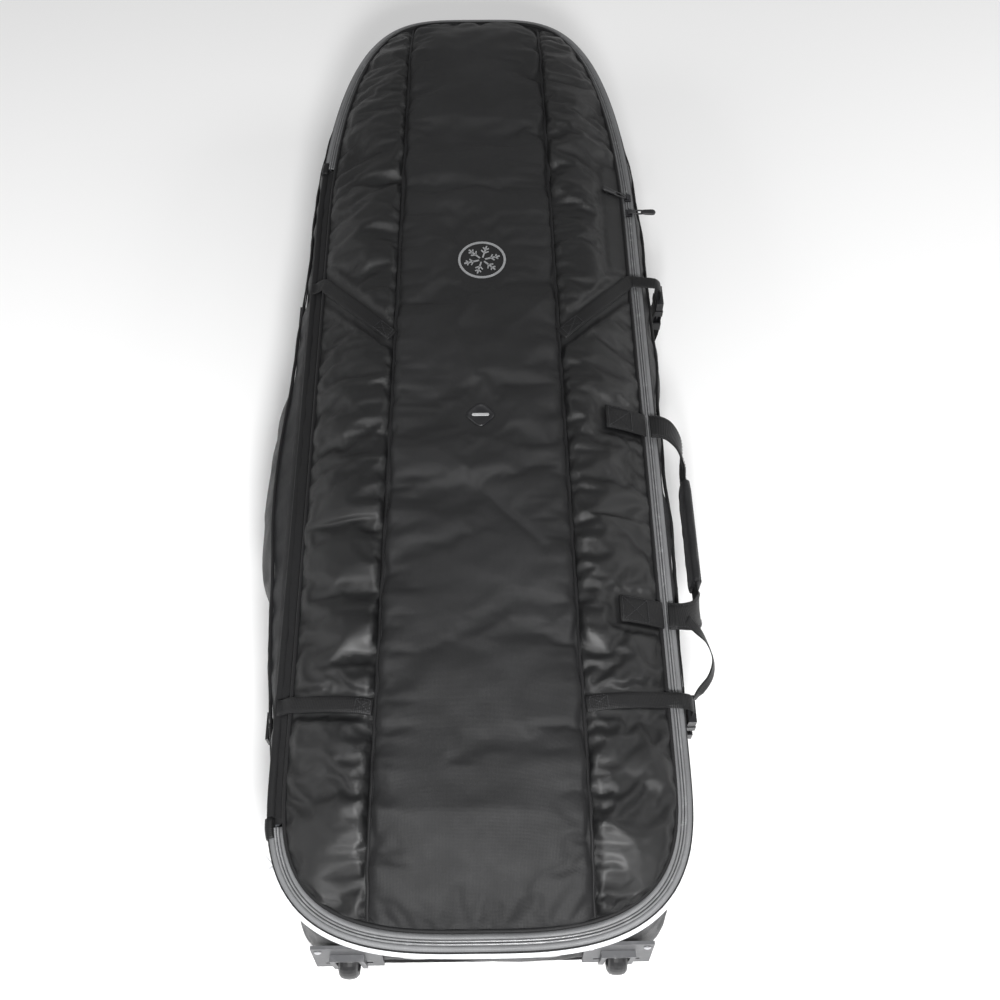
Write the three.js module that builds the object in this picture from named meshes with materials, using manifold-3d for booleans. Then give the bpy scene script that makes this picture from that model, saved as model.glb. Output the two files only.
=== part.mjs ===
// Wheeled, padded board travel bag, lying on its back with the lid up.
// Millimetres. +Z leaves the lid, -Y is the wheeled foot end, +X is the zipped side.
import * as THREE from 'three';
import { mergeVertices } from 'three/addons/utils/BufferGeometryUtils.js';
import Module from 'manifold-3d';

const wasm = await Module();
wasm.setup();

// Overall sizes
const LENGTH = 1500;
const HALF_WIDTH = 233;
const TUB_HEIGHT = 240;
const LID_RISE = 43;

// Plan shape: rounded foot, straight sides, long rounded head
const FOOT_ROUND = 200;
const FOOT_POWER = 3.2;
const HEAD_ROUND = 470;
const BASE_FOOT_INSET = 18;
const BASE_FOOT_POWER = 7;

// Padded walls
const GAP = 0.3;
const WALL = 8;
const BACK_SKIN = 5;
const BACK_FOAM = 7.7;
const BULGE_LEFT = [22, 34, 585, 215];
const BULGE_RIGHT = [14, 16, 800, 250];
const BULGE_HEAD = 8;
const RIM = 9;

// Lid
const LID_SKIN = 6;
const LID_EDGE = 8;
const LID_SHOULDER = 100;
const LID_LINING = 4;
const SEAM_FOOT = 123;
const SEAM_HEAD = 105;

// Zipper
const COIL_WIDTH = 2.8;
const COIL_HEIGHT = 3.6;
const TAPE_WIDTH = 8.7;
const TAPE_THICK = 1.5;
const ZIP_END_FOOT = 126;
const ZIP_END_HEAD = 1153;
const SLIDER_FOOT_AT = 1050;
const SLIDER_HEAD_AT = 1081;
const PULL_LENGTH = 36;

// Wheels, in pockets at the two foot corners
const WHEEL_X = 165;
const WHEEL_R = 26;
const WHEEL_WIDTH = 24;
const WHEEL_LIFT = 2;
const FOOT_REACH = 6.5;
const AXLE_R = 3;
const AXLE_CLEARANCE = 0.08;
const SLOT_SIDE = 2.5;
const SLOT_ROUND = 4;
const POCKET_WALL = 6.5;
const FLANGE_THICK = 4;
const FLANGE_HALF = 42;
const SCREW_R = 2.2;

// Webbing and buckles
const STRAP = 25;
const STRAP_THICK = 1.6;
const STRAP_UPPER_EDGE = 908;
const STRAP_UPPER_SEAM = 790;
const STRAP_LOWER_EDGE = 266;
const STRAP_LOWER_SEAM = 252;
const BUCKLE_WIDTH = 36;
const BUCKLE_THICK = 12;
const BUCKLE_CAVITY = 8.4;
const TONGUE_THICK = 3;
const BUCKLE_TOP = 205;
const BUCKLE_LENGTH = 42;
const HANDLE_WEB = 38;
const HANDLE_THICK = 2.4;
const HANDLE_HEAD_END = 655;
const HANDLE_FOOT_END = 375;
const HANDLE_OUT = 47;
const GRIP_LENGTH = 150;

// ---------------------------------------------------------------- plan curve
const clamp01 = (t) => Math.min(1, Math.max(0, t));
const mix = (a, b, t) => a + (b - a) * t;
const ease = (x, a, b) => {
  const t = clamp01((x - a) / (b - a));
  return t * t * (3 - 2 * t);
};
const HEAD_START = LENGTH - HEAD_ROUND;
const yOf = (v) => v - LENGTH / 2;

function superCorner(angle, halfWidth, depth, power, inset) {
  const k = 2 / power;
  const x = halfWidth * Math.sin(angle) ** k;
  const v = inset + (depth - inset) * (1 - Math.max(0, Math.cos(angle)) ** k);
  return [x, v];
}

function rawHalfLoop() {
  const rows = [];
  for (let i = 0; i <= 160; i += 1) {
    const t = i / 160;
    const angle = (t * t * (3 - 2 * t) * Math.PI) / 2;
    const top = superCorner(angle, HALF_WIDTH, FOOT_ROUND, FOOT_POWER, 0);
    const low = superCorner(angle, HALF_WIDTH, FOOT_ROUND, BASE_FOOT_POWER, BASE_FOOT_INSET);
    rows.push([...top, ...low]);
  }
  for (let i = 1; i < 60; i += 1) {
    const v = mix(FOOT_ROUND, HEAD_START, i / 60);
    rows.push([HALF_WIDTH, v, HALF_WIDTH, v]);
  }
  for (let i = 0; i <= 160; i += 1) {
    const t = i / 160;
    const angle = ((1 - (1 - t) ** 1.6) * Math.PI) / 2;
    const x = HALF_WIDTH * Math.max(0, Math.cos(angle)) ** 0.5;
    const v = HEAD_START + HEAD_ROUND * Math.sin(angle);
    rows.push([x, v, x, v]);
  }
  return rows;
}

function withNormals(rows) {
  const last = rows.length - 1;
  let run = 0;
  return rows.map((row, i) => {
    const a = rows[Math.max(0, i - 1)];
    const b = rows[Math.min(last, i + 1)];
    if (i > 0) run += Math.hypot(row[0] - a[0], row[1] - a[1]);
    const normal = (p, q) => {
      const length = Math.hypot(q[0] - p[0], q[1] - p[1]) || 1;
      return [(q[1] - p[1]) / length, -(q[0] - p[0]) / length];
    };
    const [nx, nv] = i === 0 ? [0, -1] : i === last ? [0, 1] : normal(a, b);
    const [bx, bv] = i === 0 ? [0, -1] : i === last ? [0, 1] : normal(a.slice(2), b.slice(2));
    return { s: run, x: row[0], v: row[1], nx, nv, lx: row[2], lv: row[3], lnx: bx, lnv: bv };
  });
}

const HALF_LOOP = withNormals(rawHalfLoop());
const HALF_RUN = HALF_LOOP[HALF_LOOP.length - 1].s;

// Point on the plan curve: s = 0 at the foot centre, positive round the +X side
function onLoop(sIn) {
  let s = sIn;
  if (s > HALF_RUN) s -= 2 * HALF_RUN;
  if (s < -HALF_RUN) s += 2 * HALF_RUN;
  const side = s < 0 ? -1 : 1;
  const want = Math.abs(s);
  let i = 1;
  while (i < HALF_LOOP.length - 1 && HALF_LOOP[i].s < want) i += 1;
  const a = HALF_LOOP[i - 1];
  const b = HALF_LOOP[i];
  const t = clamp01((want - a.s) / (b.s - a.s || 1));
  const out = { side };
  for (const key of Object.keys(a)) out[key] = mix(a[key], b[key], t);
  for (const key of ['x', 'nx', 'lx', 'lnx']) out[key] *= side;
  return out;
}

// Distance along the +X half of the curve at a given distance from the foot edge
function runAt(v) {
  let i = 1;
  while (i < HALF_LOOP.length - 1 && HALF_LOOP[i].v < v) i += 1;
  const a = HALF_LOOP[i - 1];
  const b = HALF_LOOP[i];
  return mix(a.s, b.s, clamp01((v - a.v) / (b.v - a.v || 1)));
}

// Half width of the plan curve drawn inward by q, at distance v from the foot edge
function insetCurve(q) {
  const points = HALF_LOOP.map((p) => [Math.max(0, p.x - q * p.nx), p.v - q * p.nv]);
  return (v) => {
    for (let i = 1; i < points.length; i += 1) {
      const [x0, v0] = points[i - 1];
      const [x1, v1] = points[i];
      if (v >= v0 && v <= v1) return mix(x0, x1, (v - v0) / (v1 - v0 || 1));
    }
    return 0;
  };
}

// Stations along the curve, close together only where it turns
function stations(from, to, maxStep, maxTurn = 0.16) {
  const list = [from];
  let last = onLoop(from);
  let lastS = from;
  const step = 3;
  for (let s = from + step; s < to; s += step) {
    const p = onLoop(s);
    const turn = Math.acos(clamp01(p.nx * last.nx + p.nv * last.nv));
    if (turn > maxTurn || s - lastS > maxStep) {
      list.push(s);
      last = p;
      lastS = s;
    }
  }
  if (to - lastS < 6 && list.length > 1) list.pop();
  list.push(to);
  return list;
}

// ---------------------------------------------------------------- solids
function newellBasis(ring) {
  const n = new THREE.Vector3();
  ring.forEach((a, i) => {
    const b = ring[(i + 1) % ring.length];
    n.x += (a.y - b.y) * (a.z + b.z);
    n.y += (a.z - b.z) * (a.x + b.x);
    n.z += (a.x - b.x) * (a.y + b.y);
  });
  n.normalize();
  const helper = Math.abs(n.z) < 0.9 ? new THREE.Vector3(0, 0, 1) : new THREE.Vector3(1, 0, 0);
  const u = helper.clone().cross(n).normalize();
  return [u, n.clone().cross(u)];
}

function capTriangles(ring) {
  const [u, w] = newellBasis(ring);
  const flat = ring.map((p) => new THREE.Vector2(p.dot(u), p.dot(w)));
  const turn = (a, b, c) => (b.x - a.x) * (c.y - a.y) - (b.y - a.y) * (c.x - a.x);
  const way = Math.sign(THREE.ShapeUtils.area(flat));
  return THREE.ShapeUtils.triangulateShape(flat, []).map(([a, b, c]) => {
    const same = Math.sign(turn(flat[a], flat[b], flat[c])) === way;
    return same ? [a, b, c] : [a, c, b];
  });
}

// Closed skin through equal rings of points, capped at both ends unless it closes on itself
function loft(rings, closed = false) {
  const count = rings[0].length;
  const index = [];
  const spans = closed ? rings.length : rings.length - 1;
  for (let i = 0; i < spans; i += 1) {
    const next = (i + 1) % rings.length;
    for (let j = 0; j < count; j += 1) {
      const k = (j + 1) % count;
      const [a, b, c, d] = [i * count + j, i * count + k, next * count + k, next * count + j];
      index.push(a, b, c, a, c, d);
    }
  }
  if (!closed) {
    const end = (rings.length - 1) * count;
    for (const [a, b, c] of capTriangles(rings[0])) index.push(a, c, b);
    for (const [a, b, c] of capTriangles(rings[rings.length - 1])) index.push(end + a, end + b, end + c);
  }
  return facingOut(rings.flat(), index);
}

function facingOut(points, index) {
  let volume = 0;
  for (let i = 0; i < index.length; i += 3) {
    const [a, b, c] = [points[index[i]], points[index[i + 1]], points[index[i + 2]]];
    volume += a.dot(b.clone().cross(c));
  }
  if (volume < 0) for (let i = 0; i < index.length; i += 3) [index[i], index[i + 1]] = [index[i + 1], index[i]];
  const geometry = new THREE.BufferGeometry();
  geometry.setAttribute('position', new THREE.Float32BufferAttribute(points.flatMap((p) => [p.x, p.y, p.z]), 3));
  geometry.setIndex(index);
  return geometry;
}

function toManifold(geometry) {
  const plain = new THREE.BufferGeometry();
  plain.setAttribute('position', geometry.getAttribute('position').clone());
  if (geometry.index) plain.setIndex(geometry.index.clone());
  const merged = mergeVertices(plain, 1e-4);
  const mesh = new wasm.Mesh({
    numProp: 3,
    vertProperties: new Float32Array(merged.getAttribute('position').array),
    triVerts: new Uint32Array(merged.index.array),
  });
  return new wasm.Manifold(mesh);
}

function fromManifold(solid) {
  const mesh = solid.getMesh();
  const geometry = new THREE.BufferGeometry();
  geometry.setAttribute('position', new THREE.Float32BufferAttribute(new Float32Array(mesh.vertProperties), 3));
  geometry.setIndex([...mesh.triVerts]);
  return geometry;
}

function cut(geometry, ...tools) {
  let solid = toManifold(geometry);
  for (const tool of tools) solid = solid.subtract(toManifold(tool));
  return fromManifold(solid);
}

function join(geometry, ...others) {
  let solid = toManifold(geometry);
  for (const other of others) solid = solid.add(toManifold(other));
  return fromManifold(solid);
}

// Box between two corners
function block(x0, x1, y0, y1, z0, z1) {
  const geometry = new THREE.BoxGeometry(x1 - x0, y1 - y0, z1 - z0);
  return geometry.translate((x0 + x1) / 2, (y0 + y1) / 2, (z0 + z1) / 2);
}

// Prism along X from a side profile of [y, z] points
function prismX(profile, x0, x1) {
  const ring = (x) => profile.map(([y, z]) => new THREE.Vector3(x, y, z));
  return loft([ring(x0), ring(x1)]);
}

// Turned solid about an axis parallel to X: profile of [radius, x]
function turnedX(profile, y, z, segments = 28) {
  const geometry = new THREE.LatheGeometry(profile.map(([r, h]) => new THREE.Vector2(r, h)), segments);
  geometry.rotateZ(-Math.PI / 2);
  geometry.translate(0, y, z);
  const merged = mergeVertices(new THREE.BufferGeometry().setAttribute('position',
    geometry.getAttribute('position')).setIndex(geometry.index), 1e-4);
  return dropFlat(merged);
}

function turnedZ(profile, x, y, segments = 28) {
  const geometry = new THREE.LatheGeometry(profile.map(([r, h]) => new THREE.Vector2(r, h)), segments);
  geometry.rotateX(Math.PI / 2);
  geometry.translate(x, y, 0);
  const merged = mergeVertices(new THREE.BufferGeometry().setAttribute('position',
    geometry.getAttribute('position')).setIndex(geometry.index), 1e-4);
  return dropFlat(merged);
}

// Remove the zero-area triangles a turned profile leaves on its axis, and face it outward
function dropFlat(geometry) {
  const source = geometry.getAttribute('position');
  const points = [];
  for (let i = 0; i < source.count; i += 1) points.push(new THREE.Vector3().fromBufferAttribute(source, i));
  const index = [];
  for (let i = 0; i < geometry.index.count; i += 3) {
    const t = [0, 1, 2].map((k) => geometry.index.getX(i + k));
    if (new Set(t).size === 3) index.push(...t);
  }
  return facingOut(points, index);
}

// Strip of webbing through [x, y, z] points, each with the direction its face looks
function webbing(points, faces, width, thick) {
  const list = points.map((p) => new THREE.Vector3(...p));
  const rings = list.map((p, i) => {
    const a = list[Math.max(0, i - 1)];
    const b = list[Math.min(list.length - 1, i + 1)];
    const along = b.clone().sub(a).normalize();
    const face = new THREE.Vector3(...faces[i]);
    face.addScaledVector(along, -face.dot(along)).normalize();
    const across = along.clone().cross(face).normalize();
    const corner = (u, w) => p.clone().addScaledVector(across, (u * width) / 2).addScaledVector(face, (w * thick) / 2);
    return [corner(-1, -1), corner(1, -1), corner(1, 1), corner(-1, 1)];
  });
  return loft(rings);
}

// ---------------------------------------------------------------- walls
const LEVELS = [BACK_SKIN + GAP, 18, 52, 86, 130, 175, 215, TUB_HEIGHT - GAP];
const LEVEL_SCALE = TUB_HEIGHT / 240;
const levelZ = (i) => (i === 0 || i === LEVELS.length - 1 ? LEVELS[i] : LEVELS[i] * LEVEL_SCALE);
const FOOT_WEIGHT = [1, 1, 1, 1, 0.72, 0.32, 0, 0];
const FOOT_OFFSET = [-1, 3, -1.5, -6, -6, -6, -6, -6];
const FOOT_RIM_OFFSET = [9, 9, 9, 9, 4, 2, 4, 9].map((o) => (o * RIM) / 9);

function bulgeAt(p) {
  const [flat, swell, centre, spread] = p.side < 0 ? BULGE_LEFT : BULGE_RIGHT;
  const along = flat * ease(p.v, 110, 340) + swell * Math.exp(-(((p.v - centre) / spread) ** 2));
  return mix(along, BULGE_HEAD, ease(p.v, 1080, 1330));
}

function sideOffset(b, i) {
  return [0, 0.25 * b, 0.62 * b, 0.84 * b, 0.97 * b, b, 0.62 * b + 5, RIM][i];
}

// Outer (or inner, with depth) point of the wall at curve point p and level i
function wallPoint(p, i, depth) {
  const foot = 1 - ease(p.v, 40, 190);
  const side = sideOffset(bulgeAt(p), i);
  const high = mix(side, FOOT_RIM_OFFSET[i], foot) - depth;
  const low = mix(side, FOOT_OFFSET[i], foot) - depth;
  const k = FOOT_WEIGHT[i];
  const x = mix(p.x + p.nx * high, p.lx + p.lnx * low, k);
  const v = mix(p.v + p.nv * high, p.lv + p.lnv * low, k);
  return new THREE.Vector3(x, yOf(v), levelZ(i));
}

function wallRing(s) {
  const p = onLoop(s);
  const outer = LEVELS.map((_, i) => wallPoint(p, i, 0));
  const inner = LEVELS.map((_, i) => wallPoint(p, i, WALL)).reverse();
  return [...outer, ...inner];
}

const gusset = (from, to, step) => loft(stations(from, to, step).map(wallRing));

// Flat plate following the plan curve, drawn in by an amount, between two heights
function planPlate(z0, z1, point) {
  const ring = stations(-HALF_RUN, HALF_RUN, 130, 0.2).slice(0, -1).map((s) => point(onLoop(s)));
  const at = (z) => ring.map(([x, v]) => new THREE.Vector3(x, yOf(v), z));
  return loft([at(z0), at(z1)]);
}

function basePoint(p, depth) {
  const q = wallPoint(p, 0, depth);
  return [q.x, q.y + LENGTH / 2];
}

// Ribbon riding on the rim of the tub, from offset o0 to o1 and height z0 to z1
function rimRibbon(from, to, o0, o1, z0, z1, step = 110) {
  return loft(stations(from, to, step, 0.2).map((s) => {
    const p = onLoop(s);
    const at = (o, z) => new THREE.Vector3(p.x + p.nx * o, yOf(p.v + p.nv * o), z);
    return [at(o0, z0), at(o1, z0), at(o1, z1), at(o0, z1)];
  }));
}

// ---------------------------------------------------------------- lid
const wave = (t) => Math.sin((clamp01(t) * Math.PI) / 2);
const outlineHalf = insetCurve(0);

function lidTop(x, v) {
  const side = wave((outlineHalf(v) - Math.abs(x) - RIM) / LID_SHOULDER);
  const foot = wave((v - RIM) / (LID_SHOULDER + 25));
  const head = wave((LENGTH - v - RIM) / (LID_SHOULDER + 30));
  return TUB_HEIGHT + LID_EDGE + (LID_RISE - LID_EDGE) * side * foot * head;
}

const seamHalf = (v) => mix(SEAM_FOOT, SEAM_HEAD, clamp01(v / LENGTH));

// Curved slab on the lid: each row is [v, x0, x1]
function lidSlab(rows, columns, topOf, bottomOf) {
  return loft(rows.map(([v, x0, x1]) => {
    const top = [];
    const bottom = [];
    for (let j = 0; j <= columns; j += 1) {
      const x = mix(x0, x1, j / columns);
      const vj = typeof v === 'function' ? v(x) : v;
      top.push(new THREE.Vector3(x, yOf(vj), topOf(x, vj)));
      bottom.push(new THREE.Vector3(x, yOf(vj), bottomOf(x, vj)));
    }
    return [...top, ...bottom.reverse()];
  }));
}

// Rows that crowd towards both ends
function rowFractions(count) {
  return Array.from({ length: count + 1 }, (_, i) => (1 - Math.cos((Math.PI * i) / count)) / 2);
}

function lidCentre() {
  const edgeFoot = (x) => {
    const t = clamp01(Math.abs(x) / HALF_WIDTH) ** FOOT_POWER;
    return RIM + 0.6 + FOOT_ROUND * (1 - (1 - t) ** (1 / FOOT_POWER));
  };
  const edgeHead = (x) => HEAD_START + HEAD_ROUND * Math.sqrt(1 - (x / HALF_WIDTH) ** 4) - RIM - 0.6;
  const rows = rowFractions(22).map((t) => {
    const half = seamHalf(t * LENGTH) - GAP / 2;
    return [(x) => mix(edgeFoot(x), edgeHead(x), t), -half, half];
  });
  return lidSlab(rows, 8, lidTop, (x, v) => lidTop(x, v) - LID_SKIN);
}

function lidSide(side) {
  const edge = insetCurve(RIM + 0.6);
  let from = 0;
  while (edge(from) < seamHalf(from) + 6) from += 0.5;
  let to = LENGTH;
  while (edge(to) < seamHalf(to) + 6) to -= 0.5;
  const rows = rowFractions(26).map((t) => {
    const v = mix(from, to, t);
    return [v, side * (seamHalf(v) + GAP), side * edge(v)];
  });
  return lidSlab(rows, 5, lidTop, (x, v) => lidTop(x, v) - LID_SKIN);
}

const LINING_TOP = TUB_HEIGHT + 0.5;

function lidFoam() {
  const edge = insetCurve(24);
  const rows = rowFractions(20).map((t) => {
    const v = mix(27, LENGTH - 27, t);
    return [v, -edge(v), edge(v)];
  });
  const top = (x, v) => Math.max(lidTop(x, v) - LID_SKIN - 2.8, LINING_TOP + 1.2);
  return lidSlab(rows, 10, top, () => LINING_TOP + GAP);
}

// ---------------------------------------------------------------- parts list
const group = new THREE.Group();
group.name = 'board_bag';

const LOOKS = {
  nylon: ['#34353a', 0.85, 0],
  side_nylon: ['#26272b', 0.5, 0],
  wall_nylon: ['#1b1c20', 0.7, 0],
  foam: ['#54565c', 0.95, 0],
  lining: ['#3b3d43', 0.8, 0],
  zip_tape: ['#9a9ca0', 0.6, 0],
  zip_coil: ['#c2c4c8', 0.4, 0],
  piping: ['#e6e7e8', 0.35, 0],
  webbing: ['#17181b', 0.75, 0],
  buckle: ['#0f1013', 0.35, 0],
  plate: ['#77797d', 0.5, 0],
  tyre: ['#26272a', 0.6, 0],
  hub: ['#5b5d61', 0.45, 0],
  steel: ['#b9bbc0', 0.3, 1],
  emblem: ['#b4b6ba', 0.5, 0],
  patch: ['#1e1f22', 0.6, 0],
};

function add(name, look, geometry) {
  const [color, roughness, metalness] = LOOKS[look];
  const material = new THREE.MeshStandardMaterial({ color, roughness, metalness });
  const plain = geometry.index ? geometry : mergeVertices(geometry, 1e-4);
  plain.computeVertexNormals();
  const mesh = new THREE.Mesh(plain, material);
  mesh.name = name;
  group.add(mesh);
}

// ---------------------------------------------------------------- wheels and pockets
const AXLE_V = WHEEL_R - FOOT_REACH;
const AXLE_Z = WHEEL_R + WHEEL_LIFT;
const SLOT_HALF = WHEEL_WIDTH / 2 + SLOT_SIDE;
const POCKET_HALF = SLOT_HALF + POCKET_WALL;
const SLOT_TOP = AXLE_Z + WHEEL_R + SLOT_ROUND;
const SLOT_BACK = AXLE_V + WHEEL_R + SLOT_ROUND;
const POCKET_TOP = SLOT_TOP + 4;
const POCKET_BACK = SLOT_BACK + 10;
const FLANGE_TOP = Math.max(86, SLOT_TOP + 18);
const FLANGE_LOW_V = 11;
const FLANGE_HIGH_V = 20;
const POCKET_FLOOR = BACK_SKIN + 1;
const FLANGE_FLOOR = 14;

function flange(side, grow) {
  const t = FLANGE_THICK + grow;
  const profile = [
    [yOf(FLANGE_LOW_V - grow), FLANGE_FLOOR - grow],
    [yOf(FLANGE_HIGH_V - grow), FLANGE_TOP + grow],
    [yOf(FLANGE_HIGH_V + t), FLANGE_TOP + grow],
    [yOf(FLANGE_LOW_V + t), FLANGE_FLOOR - grow],
  ];
  const half = FLANGE_HALF + grow;
  return prismX(profile, side * WHEEL_X - half, side * WHEEL_X + half);
}

function pocket(side, grow) {
  const x = side * WHEEL_X;
  const half = POCKET_HALF + grow;
  return block(x - half, x + half, yOf(FLANGE_LOW_V - 2 - grow), yOf(POCKET_BACK + grow),
    POCKET_FLOOR - grow, POCKET_TOP + grow);
}

const SCREW_SPOTS = [-1, 1].map((k) => ({ dx: k * (FLANGE_HALF - 8), z: FLANGE_TOP - 12 }));
const FLANGE_TILT = Math.atan2(FLANGE_HIGH_V - FLANGE_LOW_V, FLANGE_TOP - FLANGE_FLOOR);
const flangeV = (z) => FLANGE_LOW_V + (z - FLANGE_FLOOR) * Math.tan(FLANGE_TILT);

// Round bar square to the flange face, from depth a to depth b behind the face
function flangeBar(side, spot, profile) {
  const geometry = turnedZ(profile, 0, 0, 20);
  geometry.rotateX(Math.PI / 2 - FLANGE_TILT);
  geometry.translate(side * WHEEL_X + spot.dx, yOf(flangeV(spot.z)), spot.z);
  return geometry;
}

const bar = (r, a, b) => [[0, a], [r, a], [r, b], [0, b]];

function housing(side) {
  const x = side * WHEEL_X;
  const shell = join(flange(side, 0), pocket(side, 0));
  const slot = block(x - SLOT_HALF, x + SLOT_HALF, yOf(-60), yOf(SLOT_BACK), -10, SLOT_TOP);
  const axle = turnedX(bar(AXLE_R + AXLE_CLEARANCE, x - 60, x + 60), yOf(AXLE_V), AXLE_Z, 32);
  const holes = SCREW_SPOTS.map((spot) => flangeBar(side, spot, bar(SCREW_R + 0.2, -12, 12)));
  const heads = [-1, 1].map((k) => {
    const [a, b] = [x + k * POCKET_HALF, x + k * (POCKET_HALF + 8)];
    return turnedX(bar(7, Math.min(a, b), Math.max(a, b)), yOf(AXLE_V), AXLE_Z, 24);
  });
  return cut(shell, slot, axle, ...heads, ...holes);
}

const keepOut = [-1, 1].flatMap((side) => [
  flange(side, GAP),
  pocket(side, GAP),
  block(side * WHEEL_X - SLOT_HALF, side * WHEEL_X + SLOT_HALF, yOf(-60), yOf(SLOT_BACK), -10, SLOT_TOP),
  block(side * WHEEL_X - POCKET_HALF - 5, side * WHEEL_X + POCKET_HALF + 5, yOf(AXLE_V - 8), yOf(AXLE_V + 8),
    AXLE_Z - 8, AXLE_Z + 8),
]);

function screw(side, spot) {
  return flangeBar(side, spot, [[0, 2.1], [2.6, 2], [4.4, 0.9], [4.4, GAP], [SCREW_R, GAP],
    [SCREW_R, -FLANGE_THICK + 0.4], [0, -FLANGE_THICK + 0.4]]);
}

function axleBolt(side) {
  const x = side * WHEEL_X;
  const h = POCKET_HALF + GAP;
  const profile = [[0, -h - 3], [4.5, -h - 3], [5.5, -h - 2], [5.5, -h], [AXLE_R, -h], [AXLE_R, h], [5.5, h],
    [5.5, h + 2], [4.5, h + 3], [0, h + 3]];
  return turnedX(profile.map(([r, a]) => [r, a + x]), yOf(AXLE_V), AXLE_Z, 32);
}

function wheelTyre(side) {
  const x = side * WHEEL_X;
  const w = WHEEL_WIDTH / 2;
  const inner = WHEEL_R - 9;
  const profile = [[inner, -w + 1.5], [WHEEL_R - 5, -w], [WHEEL_R - 2, -w + 2.5], [WHEEL_R - 0.5, -w + 6.5],
    [WHEEL_R, 0], [WHEEL_R - 0.5, w - 6.5], [WHEEL_R - 2, w - 2.5], [WHEEL_R - 5, w], [inner, w - 1.5],
    [inner, -w + 1.5]];
  return turnedX(profile.map(([r, a]) => [r, a + x]), yOf(AXLE_V), AXLE_Z, 32);
}

function wheelHub(side) {
  const x = side * WHEEL_X;
  const w = WHEEL_WIDTH / 2;
  const rim = WHEEL_R - 9 - GAP;
  const bore = AXLE_R + AXLE_CLEARANCE;
  const profile = [[bore, -w - 1.2], [6.5, -w - 1.2], [7, -w + 3], [rim - 3, -w + 4], [rim, -w + 2],
    [rim, w - 2], [rim - 3, w - 4], [7, w - 3], [6.5, w + 1.2], [bore, w + 1.2], [bore, -w - 1.2]];
  return turnedX(profile.map(([r, a]) => [r, a + x]), yOf(AXLE_V), AXLE_Z, 32);
}

// ---------------------------------------------------------------- tub
const S_FOOT = runAt(FOOT_ROUND + 10);
const S_HEAD = runAt(HEAD_START - 10);
const HINGE_X = -(HALF_WIDTH + RIM + 0.5);
const HINGE_Z = TUB_HEIGHT + 1;

add('back_panel', 'wall_nylon', cut(planPlate(0, BACK_SKIN, (p) => basePoint(p, 0)), ...keepOut));
add('back_foam_pad', 'foam', cut(planPlate(BACK_SKIN + GAP, BACK_SKIN + GAP + BACK_FOAM,
  (p) => basePoint(p, WALL + 4)), ...keepOut));
add('side_gusset_left', 'wall_nylon', gusset(-S_HEAD + GAP, -S_FOOT - GAP, 62));
add('side_gusset_right', 'wall_nylon', gusset(S_FOOT + GAP, S_HEAD - GAP, 62));
add('head_gusset', 'wall_nylon', gusset(S_HEAD, 2 * HALF_RUN - S_HEAD, 70));
add('foot_gusset', 'wall_nylon', cut(gusset(-S_FOOT, S_FOOT, 50), ...keepOut));

const FLOOR_Z = BACK_SKIN + GAP + BACK_FOAM + GAP;
add('foot_stiffener', 'lining', block(-116, 116, yOf(36), yOf(40), FLOOR_Z, 205 * LEVEL_SCALE));

const ZIP_FROM = -runAt(ZIP_END_FOOT);
const ZIP_TO = 2 * HALF_RUN - runAt(ZIP_END_HEAD);
const COIL_IN = 0.2;
add('zipper_tape_base', 'zip_tape', rimRibbon(ZIP_FROM, ZIP_TO, COIL_IN + COIL_WIDTH + GAP,
  COIL_IN + TAPE_WIDTH, TUB_HEIGHT, TUB_HEIGHT + TAPE_THICK));
add('zipper_coil_base', 'zip_coil', rimRibbon(ZIP_FROM, ZIP_TO, COIL_IN, COIL_IN + COIL_WIDTH,
  TUB_HEIGHT, TUB_HEIGHT + COIL_HEIGHT));
add('foot_piping', 'piping', rimRibbon(-runAt(88), runAt(100), RIM + 1.2, RIM + 5.5, TUB_HEIGHT - 8,
  TUB_HEIGHT - 1, 40));

// Two bumpers the bag stands on, level with the wheels
function standFoot(side) {
  const z0 = TUB_HEIGHT - 62;
  const outline = [[-18, z0 + 20], [-17, z0 + 10], [-12, z0 + 3], [-5, z0], [5, z0], [12, z0 + 3],
    [17, z0 + 10], [18, z0 + 20]];
  const ring = (v) => outline.map(([dx, z]) => new THREE.Vector3(side * 70 + dx, yOf(v), z));
  return loft([ring(-FOOT_REACH), ring(-2)]);
}
add('stand_foot_left', 'plate', standFoot(-1));
add('stand_foot_right', 'plate', standFoot(1));

for (const [side, label] of [[-1, 'left'], [1, 'right']]) {
  add(`wheel_housing_${label}`, 'plate', housing(side));
  add(`axle_bolt_${label}`, 'steel', axleBolt(side));
  add(`housing_screw_${label}_inner`, 'steel', screw(side, SCREW_SPOTS[side < 0 ? 1 : 0]));
  add(`housing_screw_${label}_outer`, 'steel', screw(side, SCREW_SPOTS[side < 0 ? 0 : 1]));
  add(`wheel_tyre_${label}`, 'tyre', wheelTyre(side));
  add(`wheel_hub_${label}`, 'hub', wheelHub(side));
}

// ---------------------------------------------------------------- lid parts
add('lid_center_panel', 'nylon', lidCentre());
add('lid_side_panel_left', 'side_nylon', lidSide(-1));
add('lid_side_panel_right', 'side_nylon', lidSide(1));
add('lid_foam_core', 'foam', lidFoam());
add('lid_lining', 'lining', planPlate(LINING_TOP - LID_LINING, LINING_TOP,
  (p) => [p.x - 20 * p.nx, p.v - 20 * p.nv]));
add('zipper_tape_lid', 'zip_tape', rimRibbon(ZIP_FROM, ZIP_TO, -COIL_IN - TAPE_WIDTH,
  -COIL_IN - COIL_WIDTH - GAP, TUB_HEIGHT, TUB_HEIGHT + TAPE_THICK));
add('zipper_coil_lid', 'zip_coil', rimRibbon(ZIP_FROM, ZIP_TO, -COIL_IN - COIL_WIDTH, -COIL_IN,
  TUB_HEIGHT, TUB_HEIGHT + COIL_HEIGHT));
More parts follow.
